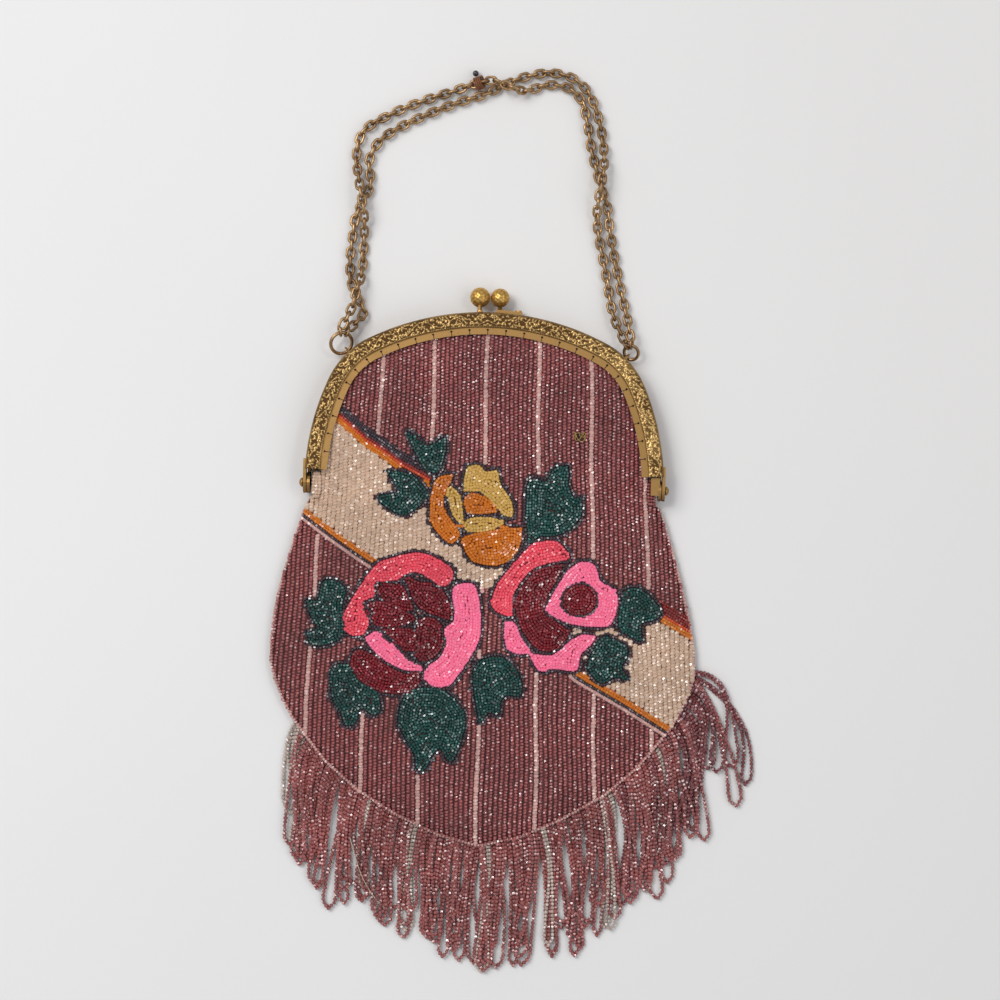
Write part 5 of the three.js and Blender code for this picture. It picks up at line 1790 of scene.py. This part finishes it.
@dataclass
class LoopFringe:
    """Locks of loops of strung beads along the hem.

    Attributes:
        loops: How many loops hang along the hem.
        long: Length of a loop.
        start: Angle at which the fringe starts on the left, from straight down.
        end: Angle at which it ends on the right.
        bottom: Share of the rim at which the hem's lowest point lies.
        gathered: How far the ends of a lock's loops come together.
        bead: Radius along the thread and across it.
        spacing: From bead to bead.
        locks: The locks' places, their lean and their length.
        pale: Numbers of the loops of clear glass.
        open_ends: Places of the loops that lie open, apart from the locks.
    """

    loops: int = 98
    long: float = 52.5
    start: float = math.radians(-61)
    end: float = math.radians(79)
    bottom: float = 0.451
    gathered: float = 0.5
    bead: Point2 = (0.84, 0.88)
    spacing: float = 1.54
    locks: tuple[tuple[float, float, float], ...] = (
        # place along the hem from -1 to 1, lean to the right in degrees, share of the length
        (-1, -2, 0.86), (-0.9, -4, 0.98), (-0.82, -6, 0.96), (-0.73, -5, 0.94), (-0.63, -4, 0.88),
        (-0.53, -2, 0.82), (-0.42, -3, 0.88), (-0.32, -4, 0.8), (-0.21, -3, 0.82), (-0.1, -3, 0.9),
        (0.01, -1, 0.97), (0.12, 0, 0.98), (0.23, 3, 1), (0.33, 3, 1.04), (0.43, 4, 1.04), (0.52, 5, 1),
        (0.6, 5, 0.98), (0.68, 6, 1.02), (0.76, 7, 1), (0.83, 8, 0.9), (0.9, 12, 0.84), (0.96, 17, 0.84),
        (1, 25, 0.99),
    )
    pale: tuple[int, ...] = (0, 1, 2, 3, 20, 29, 30, 44, 55, 67, 69, 81)
    open_ends: tuple[Point2, ...] = (
        (-75, -146), (-28.4, -182), (-15.6, -181), (-7.5, -187), (3, -192), (10.7, -193), (56.2, -172),
        (73.2, -164), (80, -148), (105, -126), (92, -140), (-58, -171))

    def path(self, root: np.ndarray, out: np.ndarray, tip: np.ndarray, wide: float, bend: float, fling: float,
             chance: np.random.Generator) -> np.ndarray:
        """Draws one loop: down one leg, round its open end and up the other.

        Args:
            root: Where it hangs from.
            out: The direction away from the hem.
            tip: Where its end lies.
            wide: Half the width of its open end.
            bend: How far it sways from side to side.
            fling: How far it first runs away from the hem, as a share of its length.
            chance: Source of its small bends.

        Returns:
            Points in X and Y.
        """
        long = float(np.linalg.norm(tip - root))
        control = root + out * long * fling
        phase, waves = chance.uniform(0, 2 * math.pi), chance.uniform(0.8, 2.6)
        narrow = 0.5
        legs = []
        for side in (-1, 1):
            leg = []
            for t in np.linspace(0, 1, 34):
                at = (1 - t) ** 2 * root + 2 * t * (1 - t) * control + t * t * tip
                way = 2 * (1 - t) * (control - root) + 2 * t * (tip - control)
                way /= np.linalg.norm(way)
                open_from = max(0.0, (t - 0.55) / 0.45)
                spread = narrow + (wide - narrow) * open_from ** 1.3
                end = max(0.0, (t * long - (long - wide * 1.15)) / (wide * 1.15))
                spread *= math.sqrt(max(0.0, 1 - end * end))
                sway = bend * math.sin(waves * math.pi * t + phase) * t
                leg.append(at + np.array([-way[1], way[0]]) * (side * spread + sway))
            legs.append(leg)
        return np.array(legs[0] + legs[1][::-1])

    def build(self, form: BagForm, wardrobe: Wardrobe) -> None:
        """Hangs the loops, a few of them pale.

        Args:
            form: The bag.
            wardrobe: The finishes.
        """
        chance = np.random.default_rng(23)
        lots = {glass: BeadLot(glass, BeadShape.FRINGE) for glass in (Glass.DUSTY, Glass.DUSTY_PAINTED_SHADE, Glass.CLEAR)}
        rim = np.array([form.edge(a) for a in np.linspace(self.start, self.end, 600)])
        runs = np.concatenate([[0], np.cumsum(np.linalg.norm(np.diff(rim, axis=0), axis=1))])

        def on_rim(share: float) -> np.ndarray:
            at = min(max(share, 0), 1) * runs[-1]
            return np.array([np.interp(at, runs, rim[:, 0]), np.interp(at, runs, rim[:, 1])])

        shares = [self.bottom * (1 + along) if along < 0 else self.bottom + (1 - self.bottom) * along
                  for along, _, _ in self.locks]
        for loop in range(self.loops):
            share = (loop + 0.5) / self.loops
            lock = int(np.argmin([abs(share - own) for own in shares]))
            _, lean, reach = self.locks[lock]
            wild = max(0.0, (share - 0.82) / 0.18)
            lean = math.radians(lean + chance.normal(0, 2.2 + 5 * wild))
            root = on_rim(share + chance.normal(0, 0.001))
            step = on_rim(share + 0.004) - on_rim(share - 0.004)
            step /= np.linalg.norm(step)
            out = np.array([step[1], -step[0]])
            heading = np.array([math.sin(lean), -math.cos(lean)])
            long = self.long * reach * chance.uniform(0.74, 1.04)
            pull = (on_rim(shares[lock]) - root) * self.gathered
            tip = root + pull + heading * long + chance.normal(0, 0.8, 2)
            path = self.path(root - out * 0.6, out, tip, chance.uniform(1.6, 3.6),
                             chance.normal(0, 1.3 + 1.8 * wild), 0.16 + 0.3 * wild, chance)
            # Loops towards the right more often get the darker copy of the dusty mauve, as painted shade.
            shaded = chance.uniform() < 4 * (share - 0.68)
            glass = Glass.CLEAR if loop in self.pale else Glass.DUSTY_PAINTED_SHADE if shaded else Glass.DUSTY
            self.string(lots[glass], path, (2 * loop) % 3, chance)
        for number, end in enumerate(self.open_ends):
            tip = np.array(end)
            above = tip * (0.9, 1) + (0, self.long * 0.9)
            near = int(np.argmin(np.linalg.norm(rim - above, axis=1)).clip(1, len(rim) - 2))
            step = (rim[near + 1] - rim[near - 1]) / np.linalg.norm(rim[near + 1] - rim[near - 1])
            path = self.path(rim[near], np.array([step[1], -step[0]]), tip, chance.uniform(2.6, 3.6),
                             chance.normal(0, 0.9), 0.16, chance)
            self.string(lots[Glass.DUSTY], path, 2 - number % 2, chance)
        for glass, lot in lots.items():
            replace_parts(lot.build(f"fringe_{glass.value.name}", wardrobe, "fringe_beads", chance), "fringe")

    def string(self, lot: BeadLot, path: np.ndarray, layer: int, chance: np.random.Generator) -> None:
        """Strings beads along one loop.

        Args:
            lot: The beads of its colour.
            path: The loop's points.
            layer: Which of the three layers it lies in.
            chance: Source of small differences.
        """
        runs = np.concatenate([[0], np.cumsum(np.linalg.norm(np.diff(path, axis=0), axis=1))])
        start = chance.uniform(0, self.spacing)
        for at in np.arange(start, runs[-1], self.spacing):
            x, y = np.interp(at, runs, path[:, 0]), np.interp(at, runs, path[:, 1])
            ahead = np.array([np.interp(at + 0.5, runs, path[:, 0]) - np.interp(at - 0.5, runs, path[:, 0]),
                              np.interp(at + 0.5, runs, path[:, 1]) - np.interp(at - 0.5, runs, path[:, 1]), 0])
            drop = 1 - abs(2 * at / runs[-1] - 1)
            height = self.bead[1] * 1.1 + (0.72 * layer + 0.15) * (1 - 0.55 * drop) + abs(chance.normal(0, 0.08))
            size = (self.bead[0] * lot.glass.value.swell, self.bead[1] * lot.glass.value.swell)
            lot.add(np.array([x, y, height]), np.array([0, 0, 1.0]), ahead / np.linalg.norm(ahead), size)


# Threads

@dataclass
class LooseThreads:
    """The broken gold net threads on the right and the loose thread that hangs at the hem."""

    gold: Colour = (0.46, 0.31, 0.10)
    pale: Colour = (0.66, 0.55, 0.42)
    tangle: Point2 = (37.9, 20.7)

    @staticmethod
    def tube(points: np.ndarray, radius: float, name: str) -> bpy.types.Object:
        """Makes a thin closed thread through points.

        Args:
            points: The points it runs through.
            radius: Its radius.
            name: The piece's name.

        Returns:
            The piece.
        """
        route = smooth_route(points, 6)
        shape = bmesh.new()
        ring = None
        for place, ahead in zip(*even_places(route, np.linspace(
                0, np.linalg.norm(np.diff(route, axis=0), axis=1).sum(), len(route)))):
            turn = Vector((0, 0, 1)).rotation_difference(Vector(ahead)).to_matrix().to_4x4()
            place_it = Matrix.Translation(Vector(place)) @ turn
            new = bmesh.ops.create_circle(shape, segments=6, radius=radius, matrix=place_it)["verts"]
            edges = list({edge for vert in new for edge in vert.link_edges})
            if ring is not None:
                bmesh.ops.bridge_loops(shape, edges=ring + edges)
            ring = edges
        bmesh.ops.holes_fill(shape, edges=shape.edges, sides=6)
        return from_bmesh(shape, name)

    def build(self, form: BagForm) -> None:
        """Lays both threads.

        Args:
            form: The bag.
        """
        chance = np.random.default_rng(5)
        # The darker colours are these threads' own colours scaled down: painted shade in the stitches.
        gold = Thread("gold_thread", tuple(c * 0.6 for c in self.gold), self.gold, 2.0).make()
        pale = Thread("pale_thread", tuple(c * 0.8 for c in self.pale), self.pale, 2.0).make()
        x, y = self.tangle
        for number in range(3):
            turns = np.linspace(0, 1.5 * math.pi, 9) + chance.uniform(0, 6)
            rows = [(x + 2.0 * math.cos(a + number) + chance.normal(0, 0.4),
                     y + 1.6 * math.sin(1.7 * a) + chance.normal(0, 0.4), 0) for a in turns]
            points = np.array([(px, py, form.height(form.front, px, py) - 0.2 + chance.uniform(0, 0.3))
                               for px, py, _ in rows])
            dress(self.tube(points, 0.15, f"gold_tangle_{number}"), gold)
        hang = np.array([(-50.4, -142, 3.2), (-48, -150, 2.9), (-45, -158, 2.6), (-40, -166, 2.2), (-35, -171, 1.2)])
        dress(self.tube(hang, 0.16, "loose_thread"), pale)


# The room

@dataclass
class Studio:
    """The pale ground, the soft lights and the camera over the purse.

    Attributes:
        centre: The point of the purse that the middle of the picture shows.
        distance: Height of the camera over it.
        span: What the picture shows from side to side.
        turn: How far the purse lies turned clockwise in the picture.
    """

    centre: Point2 = (6.5, -5.2)
    distance: float = 1000.0
    span: float = 400.0
    turn: float = math.radians(1.4)

    def light(self, name: str, place: tuple[float, float, float], size: float, power: float,
              colour: Colour = (1, 1, 1)) -> None:
        """Hangs one square light that looks at the purse.

        Args:
            name: Its name.
            place: Where it hangs, in metres.
            size: Its side, in metres.
            power: Its power in watts.
            colour: Its colour.
        """
        lamp = bpy.data.lights.new(name, "AREA")
        lamp.size, lamp.energy, lamp.color = size, power, colour
        hung = bpy.data.objects.new(name, lamp)
        hung.location = place
        hung.rotation_euler = (-Vector(place)).to_track_quat("-Z", "Y").to_euler()
        bpy.context.scene.collection.objects.link(hung)

    def build(self) -> None:
        """Makes the ground, with a painted fall-off of light across it, the lights and the camera."""
        shape = bmesh.new()
        bmesh.ops.create_grid(shape, x_segments=1, y_segments=1, size=3.0)
        mesh = bpy.data.meshes.new("ground")
        shape.to_mesh(mesh)
        shape.free()
        ground = bpy.data.objects.new("ground", mesh)
        bpy.context.scene.collection.objects.link(ground)
        material, nodes, shader = new_material("pale_paper_painted_falloff")
        place = nodes.add("ShaderNodeTexCoord").outputs["Object"]
        # Painted light: the paper darkens and warms across the ground, a painted fall-off of the light.
        slope = nodes.add("ShaderNodeVectorMath", {0: place, 1: (1.0, 0.35, 0.0)}, operation="DOT_PRODUCT")
        painted_falloff = nodes.ramp(slope.outputs["Value"], -0.26, 0.2)
        paper = nodes.mix(painted_falloff, (0.92, 0.915, 0.91, 1), (0.832, 0.818, 0.802, 1))
        mottle = nodes.ramp(nodes.noise(3.0, 2), 0.3, 1.6)
        colour = nodes.mix(mottle, paper, (0.81, 0.80, 0.79, 1))
        material.node_tree.links.new(colour, shader.inputs["Base Color"])
        shader.inputs["Roughness"].default_value = 0.9
        ground.data.materials.append(material)

        world = bpy.data.worlds.new("studio")
        bpy.context.scene.world = world
        world.use_nodes = True
        world.node_tree.nodes["Background"].inputs["Color"].default_value = (0.93, 0.95, 1.0, 1)
        world.node_tree.nodes["Background"].inputs["Strength"].default_value = 0.38
        self.light("window", (-0.9, 0.7, 1.5), 1.0, 16.0, (1.0, 0.99, 0.97))
        self.light("fill", (1.2, -0.5, 1.3), 1.4, 5.5)
        self.light("sparkle_left", (-0.45, 0.35, 1.1), 0.16, 1.3)
        self.light("sparkle_right", (0.5, 0.25, 1.0), 0.14, 0.8)
        bpy.context.scene.view_settings.view_transform = "Standard"

        camera = bpy.data.cameras.new("camera")
        camera.sensor_width = 36.0
        camera.lens = camera.sensor_width * self.distance / self.span
        camera.clip_end = 10.0
        eye = bpy.data.objects.new("camera", camera)
        eye.location = (self.centre[0] * MM, self.centre[1] * MM, (self.distance + HINGE_PLANE) * MM)
        eye.rotation_euler = (0, 0, self.turn)
        bpy.context.scene.collection.objects.link(eye)
        bpy.context.scene.camera = eye


def main() -> None:
    """Builds the room and then the purse, piece by piece."""
    logging.basicConfig(level=logging.INFO, format="%(message)s")
    nodes = frame["nodes"]
    wardrobe = Wardrobe()

    Studio().build()
    log.info("room: ground, lights and camera")
    form = BeadedBag().build(nodes, wardrobe, Embroidery((-92, -122), (94, 40), Ribbon()))
    log.info("bag: ground, beads and edging")
    LoopFringe().build(form, wardrobe)
    log.info("fringe")
    for route_name, route in (("outer", OUTER_ROUTE), ("inner", INNER_ROUTE)):
        CableChain(route_name, route).build(wardrobe)
        log.info("chain: %s strand", route_name)
    JoiningWire().build(wardrobe)
    EmbossedBand(0.24).build(wardrobe)
    dark_thread = Thread("dark_thread", (0.03, 0.012, 0.01), (0.07, 0.028, 0.022), 2.0).make()
    SewingStitches().build(dark_thread)
    CornerGather(1, Glass.MAUVE).build(wardrobe, dark_thread)
    CornerGather(-1, Glass.CREAM).build(wardrobe, dark_thread)
    log.info("frame: embossed bands, stitches and corners")
    for name in ("frame_front", "frame_back"):
        dress(nodes[name], wardrobe.get(Metal.GILT))
    for name, across, middle in (("clasp_ball_left", 7.6, -3.4), ("clasp_ball_right", 7.2, 4.6)):
        dress(nodes[name], wardrobe.get(Metal.GILT))
        ClaspBall(name, across, middle).build(wardrobe)
    log.info("clasp")
    for name, node in nodes.items():
        if name.startswith(("chain_ring", "end_link")):
            dress(rounded_copy(node, f"round_{name}", 0.14), wardrobe.get(Metal.CHAIN))
        elif name.startswith("hinge_rivet"):
            dress(rounded_copy(node, f"round_{name}", 0.04), wardrobe.get(Metal.GILT))
    log.info("rings and rivets")
    LooseThreads().build(form)
    log.info("threads")


if __name__ == "__main__":
    main()
